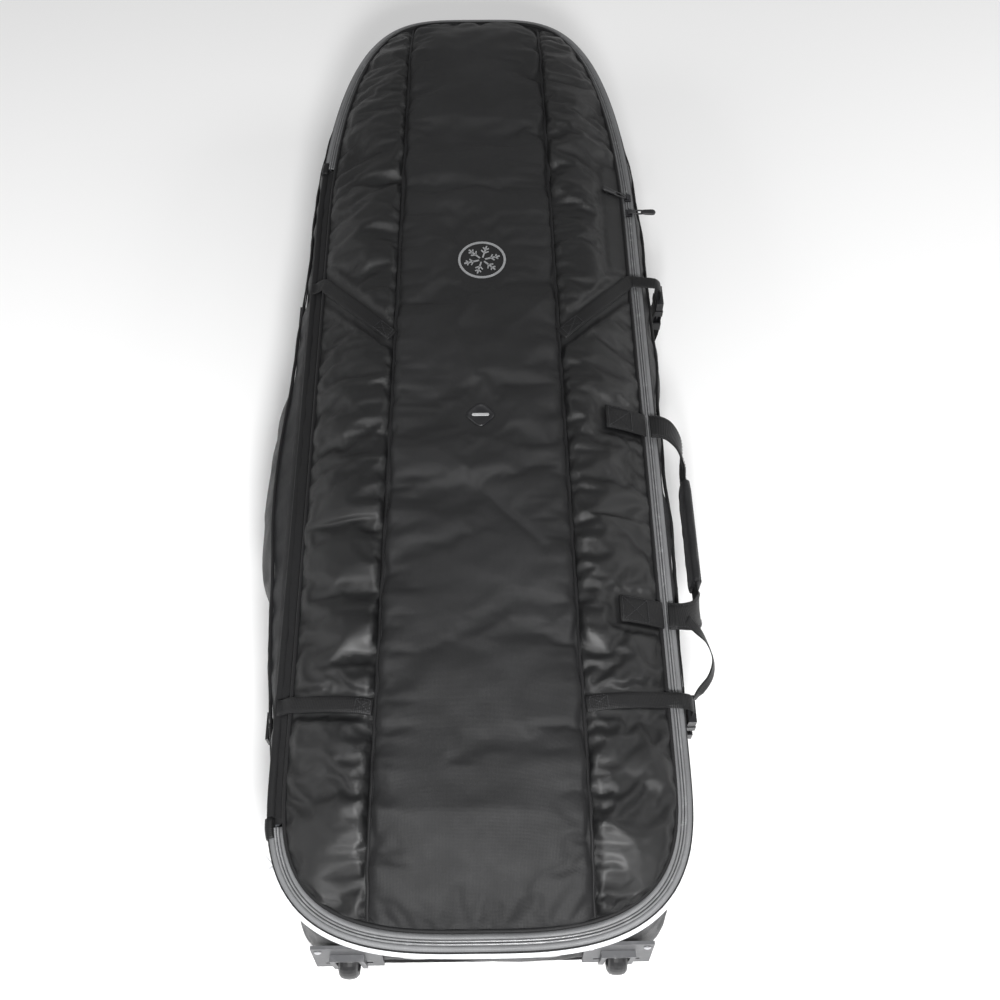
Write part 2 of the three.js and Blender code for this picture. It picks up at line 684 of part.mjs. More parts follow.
add('hinge_strip', 'wall_nylon', rimRibbon(-runAt(ZIP_END_HEAD - 3), -runAt(ZIP_END_FOOT + 3), -TAPE_WIDTH,
  RIM - 0.2, TUB_HEIGHT, TUB_HEIGHT + TAPE_THICK));

function disc(x, v, r, z0, thick) {
  return turnedZ([[0, -thick], [r, -thick], [r, 0], [0, 0]].map(([a, h]) => [a, h + z0 + thick]), x, yOf(v), 40);
}
add('emblem_patch', 'emblem', disc(8, 925, 35, lidTop(8, 925) + GAP, 1.2));
add('label_patch', 'patch', disc(4, 655, 18, lidTop(4, 655) + GAP, 2));

// ---------------------------------------------------------------- zipper sliders
function slider(v) {
  const y = yOf(v);
  const z = TUB_HEIGHT + COIL_HEIGHT + GAP;
  const plate = block(HALF_WIDTH - 5, HALF_WIDTH + 5, y - 6.5, y + 6.5, z, z + 2.2);
  const crown = block(HALF_WIDTH - 1.6, HALF_WIDTH + 1.6, y - 5, y + 5, z + 2, z + 5.2);
  const eye = block(HALF_WIDTH - 3, HALF_WIDTH + 3, y - 2.6, y + 2.6, z + 2.2, z + 3.9);
  return cut(join(plate, crown), eye);
}

// Pull tab beside the crown, lying outward or back over the lid
function pull(v, side, droop) {
  const z = TUB_HEIGHT + COIL_HEIGHT + GAP + 4;
  const x0 = HALF_WIDTH + side * 4.6;
  const reach = [0, 5, 9, PULL_LENGTH * 0.7, PULL_LENGTH];
  const half = [2.2, 2.2, 4, 4.6, 4.2];
  return loft(reach.map((d, i) => {
    const zi = z + droop * (d / PULL_LENGTH);
    const at = (a, b) => new THREE.Vector3(x0 + side * d, yOf(v) + a * half[i], zi + b);
    return [at(-1, -0.9), at(1, -0.9), at(1, 0.9), at(-1, 0.9)];
  }));
}

add('zipper_slider_foot', 'steel', slider(SLIDER_FOOT_AT));
add('zipper_slider_head', 'steel', slider(SLIDER_HEAD_AT));
add('zipper_pull_foot', 'webbing', pull(SLIDER_FOOT_AT, 1, -1));
add('zipper_pull_head', 'webbing', pull(SLIDER_HEAD_AT, -1, 21));

// ---------------------------------------------------------------- compression straps
function wallX(v, z, side) {
  const p = onLoop(side * runAt(v));
  const list = LEVELS.map((_, i) => [levelZ(i), Math.abs(wallPoint(p, i, 0).x)]);
  for (let i = 1; i < list.length; i += 1) {
    if (z <= list[i][0]) return mix(list[i - 1][1], list[i][1], (z - list[i - 1][0]) / (list[i][0] - list[i - 1][0]));
  }
  return list[list.length - 1][1];
}

const widest = (v, side) => Math.max(...[86, 130, 175, 215].map((z) => wallX(v, z * LEVEL_SCALE, side)));
const ON_TOP = STRAP_THICK / 2 + 0.7;
const buckleX = (v) => widest(v, 1) + 2 + STRAP_THICK + 0.8 + BUCKLE_THICK / 2;

// From the lid's seam across the side panel to its edge
function strapOnLid(side, seamV, edgeV) {
  const points = [];
  const faces = [];
  const edgeX = HALF_WIDTH - RIM - 1;
  for (let i = 0; i <= 7; i += 1) {
    const t = i / 7;
    const x = mix(seamHalf(seamV) + 3, edgeX, t);
    const v = mix(seamV, edgeV, t ** 1.15);
    const lean = Math.abs(x) < edgeX ? lidTop(x - 3, v) - lidTop(x + 3, v) : 6;
    points.push([side * x, yOf(v), lidTop(x, v) + ON_TOP + STRAP * 0.07]);
    faces.push([(side * lean) / 6, 0, 1]);
  }
  return [points, faces];
}

const MALE_TOP = BUCKLE_TOP + 17;

function strapRight(seamV, edgeV) {
  const [points, faces] = strapOnLid(1, seamV, edgeV);
  const x = buckleX(edgeV);
  const high = TUB_HEIGHT + LID_EDGE + ON_TOP + 0.8;
  points.push([HALF_WIDTH + 4, yOf(edgeV), high + 0.6], [x - 12, yOf(edgeV), high - 2], [x - 4, yOf(edgeV), high - 7],
    [x, yOf(edgeV), high - 15], [x, yOf(edgeV), MALE_TOP + 0.4]);
  faces.push([0.05, 0, 1], [0.4, 0, 1], [1, 0, 0.9], [1, 0, 0.1], [1, 0, 0]);
  return webbing(points, faces, STRAP, STRAP_THICK);
}

function strapLeft(seamV, edgeV) {
  const [points, faces] = strapOnLid(-1, seamV, edgeV);
  points.push([-(HALF_WIDTH + 1), yOf(edgeV), TUB_HEIGHT + TAPE_THICK + ON_TOP + 1.6]);
  points.push([HINGE_X + 2, yOf(edgeV), TUB_HEIGHT + TAPE_THICK + ON_TOP]);
  faces.push([-0.2, 0, 1], [-0.1, 0, 1]);
  return webbing(points, faces, STRAP, STRAP_THICK);
}

// Webbing lying down the outside of a wall
function strapDown(side, v, zTop, zBottom, straightTo) {
  const points = [];
  const faces = [];
  const heights = [zTop, ...LEVELS.map((_, i) => levelZ(i)).filter((z) => z < zTop - 4 && z > zBottom + 4), zBottom];
  for (const z of heights.sort((a, b) => b - a)) {
    const clear = 2 + STRAP_THICK / 2;
    const surface = Math.max(...[-13, 0, 13].map((d) => wallX(v + d, z, side)));
    const x = z >= straightTo ? widest(v, side) + clear : surface + clear;
    points.push([side * x, yOf(v), z]);
    faces.push([side, 0, 0.02]);
  }
  return webbing(points, faces, STRAP, STRAP_THICK);
}

function buckleFemale(v) {
  const x = buckleX(v);
  const y = yOf(v);
  const [h, t, c] = [BUCKLE_WIDTH / 2, BUCKLE_THICK / 2, BUCKLE_CAVITY / 2];
  const z0 = BUCKLE_TOP - BUCKLE_LENGTH;
  const shell = block(x - t, x + t, y - h, y + h, z0, BUCKLE_TOP);
  const cavity = block(x - c, x + c, y - h + 3, y + h - 3, z0 + 11, BUCKLE_TOP + 5);
  const bite = [-1, 1].map((k) => block(x - t - 1, x + t + 1, y + k * h - 5, y + k * h + 5, z0 + 15, z0 + 31));
  return cut(shell, cavity, ...bite);
}

function buckleMale(v) {
  const x = buckleX(v);
  const y = yOf(v);
  const head = block(x - 5, x + 5, y - 17, y + 17, BUCKLE_TOP + 0.4, MALE_TOP);
  const half = TONGUE_THICK / 2;
  const tongue = block(x - half, x + half, y - 3, y + 3, BUCKLE_TOP - 24, BUCKLE_TOP + 3);
  const prongs = [-1, 1].map((k) => block(x - half, x + half, y + k * 10 - 2, y + k * 10 + 2, BUCKLE_TOP - 26,
    BUCKLE_TOP + 3));
  return join(head, tongue, ...prongs);
}

function triglide(v, z) {
  const x = -(wallX(v, z, -1) + 2 + STRAP_THICK + 5);
  const y = yOf(v);
  const plate = block(x - 1.5, x + 1.5, y - 17, y + 17, z - 12, z + 12);
  const slots = [-1, 1].map((k) => block(x - 3, x + 3, y - 13.5, y + 13.5, z + k * 5.5 - 2.5, z + k * 5.5 + 2.5));
  return cut(plate, ...slots);
}

const LEFT_TOP = TUB_HEIGHT - 8;
for (const [label, seamV, edgeV] of [['upper', STRAP_UPPER_SEAM, STRAP_UPPER_EDGE],
  ['lower', STRAP_LOWER_SEAM, STRAP_LOWER_EDGE]]) {
  add(`strap_lid_right_${label}`, 'webbing', strapRight(seamV, edgeV));
  add(`strap_lid_left_${label}`, 'webbing', strapLeft(seamV, edgeV));
  add(`strap_base_right_${label}`, 'webbing', strapDown(1, edgeV, BUCKLE_TOP - 2, 24, 112));
  add(`strap_base_left_${label}`, 'webbing', strapDown(-1, edgeV, LEFT_TOP, 40, 999));
  add(`buckle_male_${label}`, 'buckle', buckleMale(edgeV));
  add(`buckle_female_${label}`, 'buckle', buckleFemale(edgeV));
  add(`triglide_left_${label}`, 'buckle', triglide(edgeV, 170));
}

// ---------------------------------------------------------------- handles
const HANDLE_X = HALF_WIDTH - 4;
const HANDLE_Z = lidTop(HANDLE_X - 4, HANDLE_HEAD_END) + 3;
const GRIP_X = HALF_WIDTH + HANDLE_OUT;
const GRIP_Z = TUB_HEIGHT - 42;
const HANDLE_MID = (HANDLE_HEAD_END + HANDLE_FOOT_END) / 2;

function sideHandle() {
  const half = (HANDLE_HEAD_END - HANDLE_FOOT_END) / 2;
  const arm = [
    [HANDLE_X + 4, half, HANDLE_Z, [0, 1]],
    [HANDLE_X + 16, half, HANDLE_Z - 0.5, [0.1, 1]],
    [HANDLE_X + 31, half - 3, HANDLE_Z - 8, [0.6, 0.9]],
    [GRIP_X - 6, half - 14, HANDLE_Z - 24, [1, 0.5]],
    [GRIP_X, half - 36, GRIP_Z + 9, [1, 0]],
    [GRIP_X, half - 58, GRIP_Z, [1, 0]],
  ];
  const back = arm.map(([x, d, z, f]) => [x, -d, z, f]).reverse();
  const all = [...arm, ...back];
  const points = all.map(([x, d, z]) => [x, yOf(HANDLE_MID + d), z]);
  return webbing(points, all.map(([, , , f]) => [f[0], 0, f[1]]), HANDLE_WEB, HANDLE_THICK);
}

function sideGrip() {
  const y0 = yOf(HANDLE_MID) - GRIP_LENGTH / 2;
  const y1 = y0 + GRIP_LENGTH;
  const outline = [[-6, -22], [6, -22], [8, -17], [8, 17], [6, 22], [-6, 22], [-8, 17], [-8, -17]];
  const ring = (y) => outline.map(([dx, dz]) => new THREE.Vector3(GRIP_X + dx, y, GRIP_Z + dz));
  const w = HANDLE_WEB / 2 + 0.8;
  const t = HANDLE_THICK / 2 + 0.8;
  return cut(loft([ring(y0), ring(y1)]), block(GRIP_X - t, GRIP_X + t, y0 - 5, y1 + 5, GRIP_Z - w, GRIP_Z + w));
}

function handleTab(v) {
  const points = [];
  const faces = [];
  for (let i = 0; i <= 4; i += 1) {
    const x = mix(HALF_WIDTH - 62, HANDLE_X - 3, i / 4);
    const edge = Math.min(x, HALF_WIDTH - RIM - 1);
    points.push([x, yOf(v), lidTop(edge, v) + HANDLE_THICK / 2 + 0.9]);
    faces.push([(lidTop(edge - 3, v) - lidTop(edge + 3, v)) / 6, 0, 1]);
  }
  return webbing(points, faces, HANDLE_WEB, HANDLE_THICK);
}

function headHandle() {
  const arm = [[95, 19], [70, 20], [48, 28], [22, 34]];
  const list = [...arm, [0, 35], ...arm.map(([x, d]) => [-x, d]).reverse()];
  const points = list.map(([x, d]) => [x, yOf(LENGTH) + d, 150 * LEVEL_SCALE - (d - 19) * 1.5]);
  return webbing(points, list.map(() => [0, 1, 0.3]), HANDLE_WEB - 6, HANDLE_THICK);
}

add('side_handle_webbing', 'webbing', sideHandle());
add('side_handle_grip', 'webbing', sideGrip());
add('side_handle_tab_head', 'webbing', handleTab(HANDLE_HEAD_END));
add('side_handle_tab_foot', 'webbing', handleTab(HANDLE_FOOT_END));
add('head_handle_webbing', 'webbing', headHandle());

// ---------------------------------------------------------------- straps on the tub floor
const TIE_HALF = HALF_WIDTH - 38;
for (const [label, v] of [['foot', 400], ['head', 1010]]) {
  add(`inner_tie_strap_${label}`, 'webbing', block(-TIE_HALF, TIE_HALF, yOf(v) - 19, yOf(v) + 19, FLOOR_Z + 0.2,
    FLOOR_Z + 2.6));
}

export default group;
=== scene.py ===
"""Wheeled padded board bag: fabric, padding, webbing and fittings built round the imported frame."""

import math

import bmesh
import bpy
import numpy as np
from mathutils import Matrix, Vector, noise
from mathutils.bvhtree import BVHTree


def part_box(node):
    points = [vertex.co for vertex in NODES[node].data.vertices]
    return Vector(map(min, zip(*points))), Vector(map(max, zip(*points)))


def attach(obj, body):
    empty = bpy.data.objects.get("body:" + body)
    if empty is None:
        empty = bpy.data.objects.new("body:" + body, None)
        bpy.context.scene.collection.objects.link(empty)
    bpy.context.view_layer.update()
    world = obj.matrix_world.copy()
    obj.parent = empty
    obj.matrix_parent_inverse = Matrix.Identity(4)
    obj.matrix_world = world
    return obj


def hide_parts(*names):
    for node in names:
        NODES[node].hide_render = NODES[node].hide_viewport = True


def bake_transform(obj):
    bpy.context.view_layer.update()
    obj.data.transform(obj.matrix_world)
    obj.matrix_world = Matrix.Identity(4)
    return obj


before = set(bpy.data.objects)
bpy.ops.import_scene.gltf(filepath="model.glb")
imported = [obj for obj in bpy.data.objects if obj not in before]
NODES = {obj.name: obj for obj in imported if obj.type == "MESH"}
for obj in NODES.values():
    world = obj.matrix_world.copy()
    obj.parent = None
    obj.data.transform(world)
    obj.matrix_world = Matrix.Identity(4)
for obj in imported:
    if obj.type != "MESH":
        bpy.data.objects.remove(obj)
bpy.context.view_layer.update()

# ---- sizes (metres)
# x runs across, y from foot to head, z up; v is the distance from the foot edge, s the run of the plan curve.
LENGTH, HALF_WIDTH, TUB, LID_RISE = 1.5, 0.233, 0.24, 0.043
FOOT_ROUND, FOOT_POWER, HEAD_ROUND = 0.2, 3.2, 0.47  # how far the rounding of each end reaches, and its squareness
BASE_INSET, BASE_POWER = 0.018, 7  # the foot end at the base sits further in and is squarer
RIM, EDGE, SHOULDER = 0.009, 0.008, 0.1  # bound rim, height of the lid's edge, width of its shoulder
PANEL_IN = RIM + 0.001  # how far inside the plan curve the lid panels end
SEAM_FOOT, SEAM_HEAD = 0.123, 0.105  # the long seams' distance from the middle, at each end
HEAD_START = LENGTH - HEAD_ROUND
HINGE_X = -0.2425
ZIP_END_FOOT, ZIP_END_HEAD = 0.126, 1.153
WHEEL_X = 0.165
TOP = 0.2385  # upper edge of the tub's fabric
SIDE_NAME = {-1: "left", 1: "right"}


def y_of(v):
    return v - LENGTH / 2


def turn(sides):
    return np.linspace(0, 2 * math.pi, sides, endpoint=False)


def ease(x, a, b):
    """0 up to a, 1 from b on, smooth between."""
    t = np.clip((x - a) / (b - a), 0, 1)
    return t * t * (3 - 2 * t)


# ---- plan curve
def half_loop():
    """The +X half of the plan curve, at the rim and at the base, with its outward normals."""
    a = np.linspace(0, 1, 400)
    a = a * a * (3 - 2 * a) * math.pi / 2
    c = np.maximum(np.cos(a), 0)

    def corner(power, inset):
        k = 2 / power
        return HALF_WIDTH * np.sin(a) ** k, inset + (FOOT_ROUND - inset) * (1 - c ** k)

    x, v = corner(FOOT_POWER, 0)
    lx, lv = corner(BASE_POWER, BASE_INSET)
    mid = np.linspace(FOOT_ROUND, HEAD_START, 62)[1:-1]
    b = (1 - (1 - np.linspace(0, 1, 400)) ** 1.6) * math.pi / 2
    hx = HALF_WIDTH * np.maximum(np.cos(b), 0) ** 0.5
    hv = HEAD_START + HEAD_ROUND * np.sin(b)
    side = np.full_like(mid, HALF_WIDTH)
    x, v = np.concatenate([x, side, hx]), np.concatenate([v, mid, hv])
    lx, lv = np.concatenate([lx, side, hx]), np.concatenate([lv, mid, hv])
    s = np.concatenate([[0], np.cumsum(np.hypot(np.diff(x), np.diff(v)))])

    def normals(px, pv):
        tx, tv = np.gradient(px), np.gradient(pv)
        n = np.hypot(tx, tv)
        n[n == 0] = 1
        nx, nv = tv / n, -tx / n
        nx[0], nv[0], nx[-1], nv[-1] = 0, -1, 0, 1
        return nx, nv

    return (s, x, v, *normals(x, v), lx, lv, *normals(lx, lv))


LOOP = half_loop()
RUN = LOOP[0][-1]


def loop(s):
    """Points of the plan curve: s is 0 at the foot centre and positive round the +X side."""
    s = np.asarray(s, float)
    s = (s + RUN) % (2 * RUN) - RUN
    side = np.where(s < 0, -1.0, 1.0)
    x, v, nx, nv, lx, lv, lnx, lnv = (np.interp(np.abs(s), LOOP[0], f) for f in LOOP[1:])
    return side, x * side, v, nx * side, nv, lx * side, lv, lnx * side, lnv


def along_rim(s, out, z):
    """Points at distance out from the plan curve and height z, one row for each run in s."""
    _, x, v, nx, nv, *_ = loop(s)
    return np.stack([x[:, None] + nx[:, None] * out, y_of(v[:, None] + nv[:, None] * out), z], -1)


def run_at(v):
    keep = np.concatenate([[True], np.diff(LOOP[2]) > 1e-9])
    return float(np.interp(v, LOOP[2][keep], LOOP[0][keep]))


def half_at(v, inset=0.0):
    """Half width of the plan curve drawn inward, at distance v from the foot edge."""
    px, pv = LOOP[1] - inset * LOOP[3], LOOP[2] - inset * LOOP[4]
    order = np.argsort(pv)
    return np.interp(v, pv[order], np.maximum(px[order], 0), left=0, right=0)


# ---- wall and lid shape
# Heights of the wall, and at each: share of the base curve at the foot end, offset there along the base and the
# rim normals, share of the side's bulge, and what is added to it.
LEVELS = np.array([0.0053, 0.018, 0.052, 0.086, 0.130, 0.175, 0.215, 0.2397])
FOOT_WEIGHT = np.array([1, 1, 1, 1, 0.72, 0.32, 0, 0])
FOOT_LOW = np.array([-1, 3, -1.5, -6, -6, -6, -6, -6]) / 1000
FOOT_HIGH = np.array([9, 9, 9, 9, 4, 2, 4, 9]) / 1000
BULGE_SHARE = np.array([0, 0.25, 0.62, 0.84, 0.97, 1, 0.62, 0])
BULGE_PLUS = np.array([0, 0, 0, 0, 0, 0, 0.005, RIM])


def bulge(side, v):
    """How far the stuffed side wall stands out; the left side bulges more."""
    flat = np.where(side < 0, 0.022, 0.014)
    swell = np.where(side < 0, 0.034, 0.016)
    centre = np.where(side < 0, 0.585, 0.8)
    spread = np.where(side < 0, 0.215, 0.25)
    along = flat * ease(v, 0.11, 0.34) + swell * np.exp(-(((v - centre) / spread) ** 2))
    t = ease(v, 1.08, 1.33)
    return along * (1 - t) + 0.008 * t


def wall(s, z, depth=0.0):
    """Points of the tub's wall at run s and height z, drawn inward by depth."""
    side, x, v, nx, nv, lx, lv, lnx, lnv = loop(s)
    z = np.broadcast_to(z, x.shape)
    level = np.interp(z, LEVELS, np.arange(len(LEVELS)))
    pick = lambda table: np.interp(level, np.arange(len(LEVELS)), table)
    foot = 1 - ease(v, 0.04, 0.19)
    out = bulge(side, v) * pick(BULGE_SHARE) + pick(BULGE_PLUS)
    high = out * (1 - foot) + pick(FOOT_HIGH) * foot - depth
    low = out * (1 - foot) + pick(FOOT_LOW) * foot - depth
    k = pick(FOOT_WEIGHT)
    px = (x + nx * high) * (1 - k) + (lx + lnx * low) * k
    pv = (v + nv * high) * (1 - k) + (lv + lnv * low) * k
    return np.stack([px, y_of(pv), z], -1)


def lid_top(x, v):
    wave = lambda t: np.sin(np.clip(t, 0, 1) * math.pi / 2)
    side = wave((half_at(v) - np.abs(x) - RIM) / SHOULDER)
    rise = side * wave((v - RIM) / (SHOULDER + 0.025))
    rise = rise * wave((LENGTH - v - RIM) / (SHOULDER + 0.03))
    return TUB + EDGE + (LID_RISE - EDGE) * rise


def seam_half(v):
    return SEAM_FOOT + (SEAM_HEAD - SEAM_FOOT) * np.clip(v / LENGTH, 0, 1)


# ---- materials
def nodes_of(name):
    m = bpy.data.materials.new(name)
    m.use_nodes = True
    return m, m.node_tree.nodes, m.node_tree.links, m.node_tree.nodes["Principled BSDF"]


def ramp(n, l, source, low, high, lo=0.35, hi=0.65):
    r = n.new("ShaderNodeValToRGB")
    r.color_ramp.elements[0].position, r.color_ramp.elements[1].position = lo, hi
    r.color_ramp.elements[0].color = (*low, 1)
    r.color_ramp.elements[1].color = (*high, 1)
    l.new(source, r.inputs["Fac"])
    return r.outputs["Color"]


def math_node(n, l, op, a, b=None):
    m = n.new("ShaderNodeMath")
    m.operation = op
    for i, value in enumerate((a, b)):
        if value is None:
            continue
        if isinstance(value, (int, float)):
            m.inputs[i].default_value = value
        else:
            l.new(value, m.inputs[i])
    return m.outputs[0]


def noise_tex(n, l, coord, scale, detail=4, rough=0.55):
    t = n.new("ShaderNodeTexNoise")
    t.inputs["Scale"].default_value = scale
    t.inputs["Detail"].default_value = detail
    t.inputs["Roughness"].default_value = rough
    l.new(coord, t.inputs["Vector"])
    return t.outputs["Fac"]


def bands(n, l, coord, axis, pitch):
    """Round threads, one every pitch metres, across the given UV axis. A wave of scale 1 repeats every pi / 10."""
    t = n.new("ShaderNodeTexWave")
    t.bands_direction = axis
    t.inputs["Scale"].default_value = 0.314159 / pitch
    l.new(coord, t.inputs["Vector"])
    return t.outputs["Fac"]


def bump_chain(n, l, bsdf, layers):
    """layers: (height socket, distance in metres, strength)"""
    last = None
    for height, distance, strength in layers:
        b = n.new("ShaderNodeBump")
        b.inputs["Distance"].default_value = distance
        b.inputs["Strength"].default_value = strength
        l.new(height, b.inputs["Height"])
        if last:
            l.new(last, b.inputs["Normal"])
        last = b.outputs["Normal"]
    l.new(last, bsdf.inputs["Normal"])


def fabric(name, color, pitch, rough, sheen, vary, crease=0.0006, ribs=None, coat=0.0):
    """Woven cloth on UVs in metres, with worn patches, fine creases and weave."""
    m, n, l, bsdf = nodes_of(name)
    uv = n.new("ShaderNodeUVMap").outputs["UV"]
    obj = n.new("ShaderNodeTexCoord").outputs["Object"]
    blotch = noise_tex(n, l, obj, 5.5, 5, 0.6)
    low = tuple(c * (1 - vary) for c in color)
    high = tuple(min(1, c * (1 + vary)) for c in color)
    tone = ramp(n, l, blotch, low, high, 0.3, 0.72)
    warp = bands(n, l, uv, "X", pitch)
    weft = bands(n, l, uv, "Y", pitch)
    weave = math_node(n, l, "MAXIMUM", warp, weft)
    if ribs:
        weave = math_node(n, l, "MULTIPLY", bands(n, l, uv, "X", ribs), math_node(n, l, "ADD", weft, 0.4))
    mix = n.new("ShaderNodeMix")
    mix.data_type, mix.blend_type = "RGBA", "MULTIPLY"
    mix.inputs[0].default_value = 0.35
    l.new(tone, mix.inputs[6])
    l.new(ramp(n, l, weave, (0.55, 0.55, 0.55), (1, 1, 1), 0.1, 0.9), mix.inputs[7])
    l.new(mix.outputs[2], bsdf.inputs["Base Color"])
    fine = noise_tex(n, l, obj, 42, 6, 0.65)
    r = math_node(n, l, "MULTIPLY", fine, 0.3)
    l.new(math_node(n, l, "ADD", r, rough - 0.15), bsdf.inputs["Roughness"])
    bsdf.inputs["Sheen Weight"].default_value = sheen
    bsdf.inputs["Sheen Roughness"].default_value = 0.4
    bsdf.inputs["Sheen Tint"].default_value = (0.7, 0.7, 0.72, 1)
    bsdf.inputs["Specular IOR Level"].default_value = 0.42 if coat else 0.28
    bsdf.inputs["Coat Weight"].default_value = coat
    bsdf.inputs["Coat Roughness"].default_value = 0.30
    bump_chain(n, l, bsdf, [(noise_tex(n, l, obj, 16, 7, 0.6), crease * 4, 0.6), (fine, crease, 0.5),
                            (weave, pitch * 0.25, 0.6)])
    return m


def plastic(name, color, rough, grain, metal=0.0, wear=None):
    """Moulded or plated surface: fine grain, faint scuffs and lighter worn patches."""
    m, n, l, bsdf = nodes_of(name)
    obj = n.new("ShaderNodeTexCoord").outputs["Object"]
    scuff = noise_tex(n, l, obj, 60, 6, 0.7)
    worn = wear or tuple(min(1, c * 1.7 + 0.01) for c in color)
    l.new(ramp(n, l, scuff, color, worn, 0.5, 0.85), bsdf.inputs["Base Color"])
    r = math_node(n, l, "MULTIPLY", scuff, 0.35)
    l.new(math_node(n, l, "ADD", r, rough - 0.17), bsdf.inputs["Roughness"])
    bsdf.inputs["Metallic"].default_value = metal
    bump_chain(n, l, bsdf, [(noise_tex(n, l, obj, grain, 3), 0.0002, 0.5), (scuff, 0.0003, 0.3)])
    return m


MAT = {  # a slot or a look: name, colour, weave pitch, roughness, sheen, blotches, creases
    "lid_nylon": fabric("lid_nylon_weave", (0.0100, 0.0101, 0.0106), 0.0014, 0.60, 0.03, 0.3, 0.0004),
    "side_nylon": fabric("side_nylon_weave", (0.0026, 0.0027, 0.0030), 0.0011, 0.40, 0.010, 0.3, 0.0003,
                         coat=0.05),
    "wall_fabric": fabric("wall_nylon_weave", (0.0065, 0.0067, 0.0074), 0.0016, 0.50, 0.04, 0.3, 0.0005),
    "binding": fabric("binding_tape", (0.004, 0.004, 0.0045), 0.001, 0.65, 0.06, 0.25, ribs=0.0018),
    "lining_fabric": fabric("lining_weave", (0.055, 0.057, 0.062), 0.001, 0.65, 0.15, 0.2),
    "webbing": fabric("webbing_weave", (0.0038, 0.0038, 0.0042), 0.0018, 0.5, 0.04, 0.3, ribs=0.0022),
    "grip_wrap": fabric("grip_weave", (0.007, 0.007, 0.0078), 0.002, 0.6, 0.12, 0.3),
    "zipper_tape": fabric("zipper_tape_weave", (0.155, 0.157, 0.161), 0.0009, 0.36, 0.1, 0.25, ribs=0.0016),
    "thread": fabric("stitch_thread", (0.022, 0.022, 0.024), 0.0006, 0.55, 0.15, 0.15),
}
MAT.update({key: plastic(*row) for key, row in {  # name, colour, roughness, grain, metal, worn colour
    "reflective_piping": ("reflective_piping", (0.62, 0.63, 0.64), 0.42, 900, 0.0, (0.85, 0.86, 0.87)),
    "zipper_coil": ("zipper_coil_nylon", (0.14, 0.142, 0.145), 0.22, 900),
    "slider_metal": ("slider_plate", (0.06, 0.06, 0.064), 0.3, 500, 0.9),
    "pull_tab": ("pull_rubber", (0.008, 0.008, 0.009), 0.45, 300),
    "buckle_plastic": ("buckle_acetal", (0.006, 0.006, 0.007), 0.32, 520),
    "housing_plastic": ("housing_moulding", (0.065, 0.066, 0.07), 0.45, 260, 0.0, (0.13, 0.13, 0.135)),
    "stand_foot_plastic": ("stand_foot_moulding", (0.22, 0.222, 0.226), 0.42, 260, 0.0, (0.34, 0.34, 0.34)),
    "fastener_steel": ("fastener_zinc", (0.5, 0.5, 0.52), 0.34, 700, 1.0, (0.62, 0.62, 0.63)),
    "wheel_tyre": ("tyre_polyurethane", (0.012, 0.012, 0.013), 0.38, 200, 0.0, (0.035, 0.035, 0.036)),
    "wheel_hub": ("hub_nylon", (0.05, 0.05, 0.052), 0.4, 300),
    "emblem": ("emblem_print", (0.20, 0.203, 0.208), 0.5, 800, 0.0, (0.27, 0.272, 0.276)),
    "rubber_patch": ("patch_rubber", (0.005, 0.005, 0.006), 0.38, 260),
    "pale_bar": ("patch_bar", (0.27, 0.272, 0.276), 0.45, 500),
}.items()})


# ---- mesh helpers
def finish_mesh(name, mesh, slot, body, smooth=True, replaces=()):
    obj = bpy.data.objects.new(name, mesh)
    bpy.context.scene.collection.objects.link(obj)
    mesh.materials.append(MAT[slot])
    if smooth:
        mesh.shade_smooth()
    if body:
        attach(obj, body)
    if replaces:
        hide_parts(*replaces)
    return obj


def grid_mesh(name, P, UV=None, wrap_rows=False, wrap_cols=False, caps=False):
    """Quads over an array of points (rows, columns, 3)."""
    rows, cols = P.shape[:2]
    mesh = bpy.data.meshes.new(name)
    faces, uvs = [], []
    for i in range(rows if wrap_rows else rows - 1):
        for j in range(cols if wrap_cols else cols - 1):
            i2, j2 = (i + 1) % rows, (j + 1) % cols
            faces.append((i * cols + j, i * cols + j2, i2 * cols + j2, i2 * cols + j))
            if UV is not None:
                un, vn = UV
                uvs += [(un[i], vn[j]), (un[i], vn[j + 1]), (un[i + 1], vn[j + 1]), (un[i + 1], vn[j])]
    if caps:
        faces.append(tuple(range(cols)))
        faces.append(tuple((rows - 1) * cols + j for j in reversed(range(cols))))
        if UV is not None:
            uvs += [(0, 0.001 * j) for j in range(2 * cols)]
    mesh.from_pydata(P.reshape(-1, 3).tolist(), [], faces)
    if UV is not None:
        layer = mesh.uv_layers.new(name="UVMap")
        layer.data.foreach_set("uv", np.array(uvs, float).ravel())
    fix_normals(mesh)
    return mesh


def fix_normals(mesh, weld=False):
    bm = bmesh.new()
    bm.from_mesh(mesh)
    if weld:
        bmesh.ops.remove_doubles(bm, verts=bm.verts, dist=1e-6)
    bmesh.ops.recalc_face_normals(bm, faces=bm.faces)
    bm.to_mesh(mesh)
    bm.free()


def cut(mesh, gone, fill=False):
    """Delete the faces whose centre passes the test gone; with fill, close the holes."""
    bm = bmesh.new()
    bm.from_mesh(mesh)
    bmesh.ops.delete(bm, geom=[f for f in bm.faces if gone(f.calc_center_median())], context="FACES")
    if fill:
        bmesh.ops.holes_fill(bm, edges=bm.edges, sides=8)
    bm.to_mesh(mesh)
    bm.free()


def run_lengths(P):
    step = np.linalg.norm(np.diff(P, axis=0), axis=1)
    return np.concatenate([[0], np.cumsum(step)])


def uv_for(P, wrap_rows=False, wrap_cols=False):
    u = run_lengths(P[:, P.shape[1] // 2])
    v = run_lengths(P[P.shape[0] // 2])
    if wrap_rows:
        u = np.append(u, u[-1] + 0.01)
    if wrap_cols:
        v = np.append(v, v[-1] + 0.004)
    return u, v


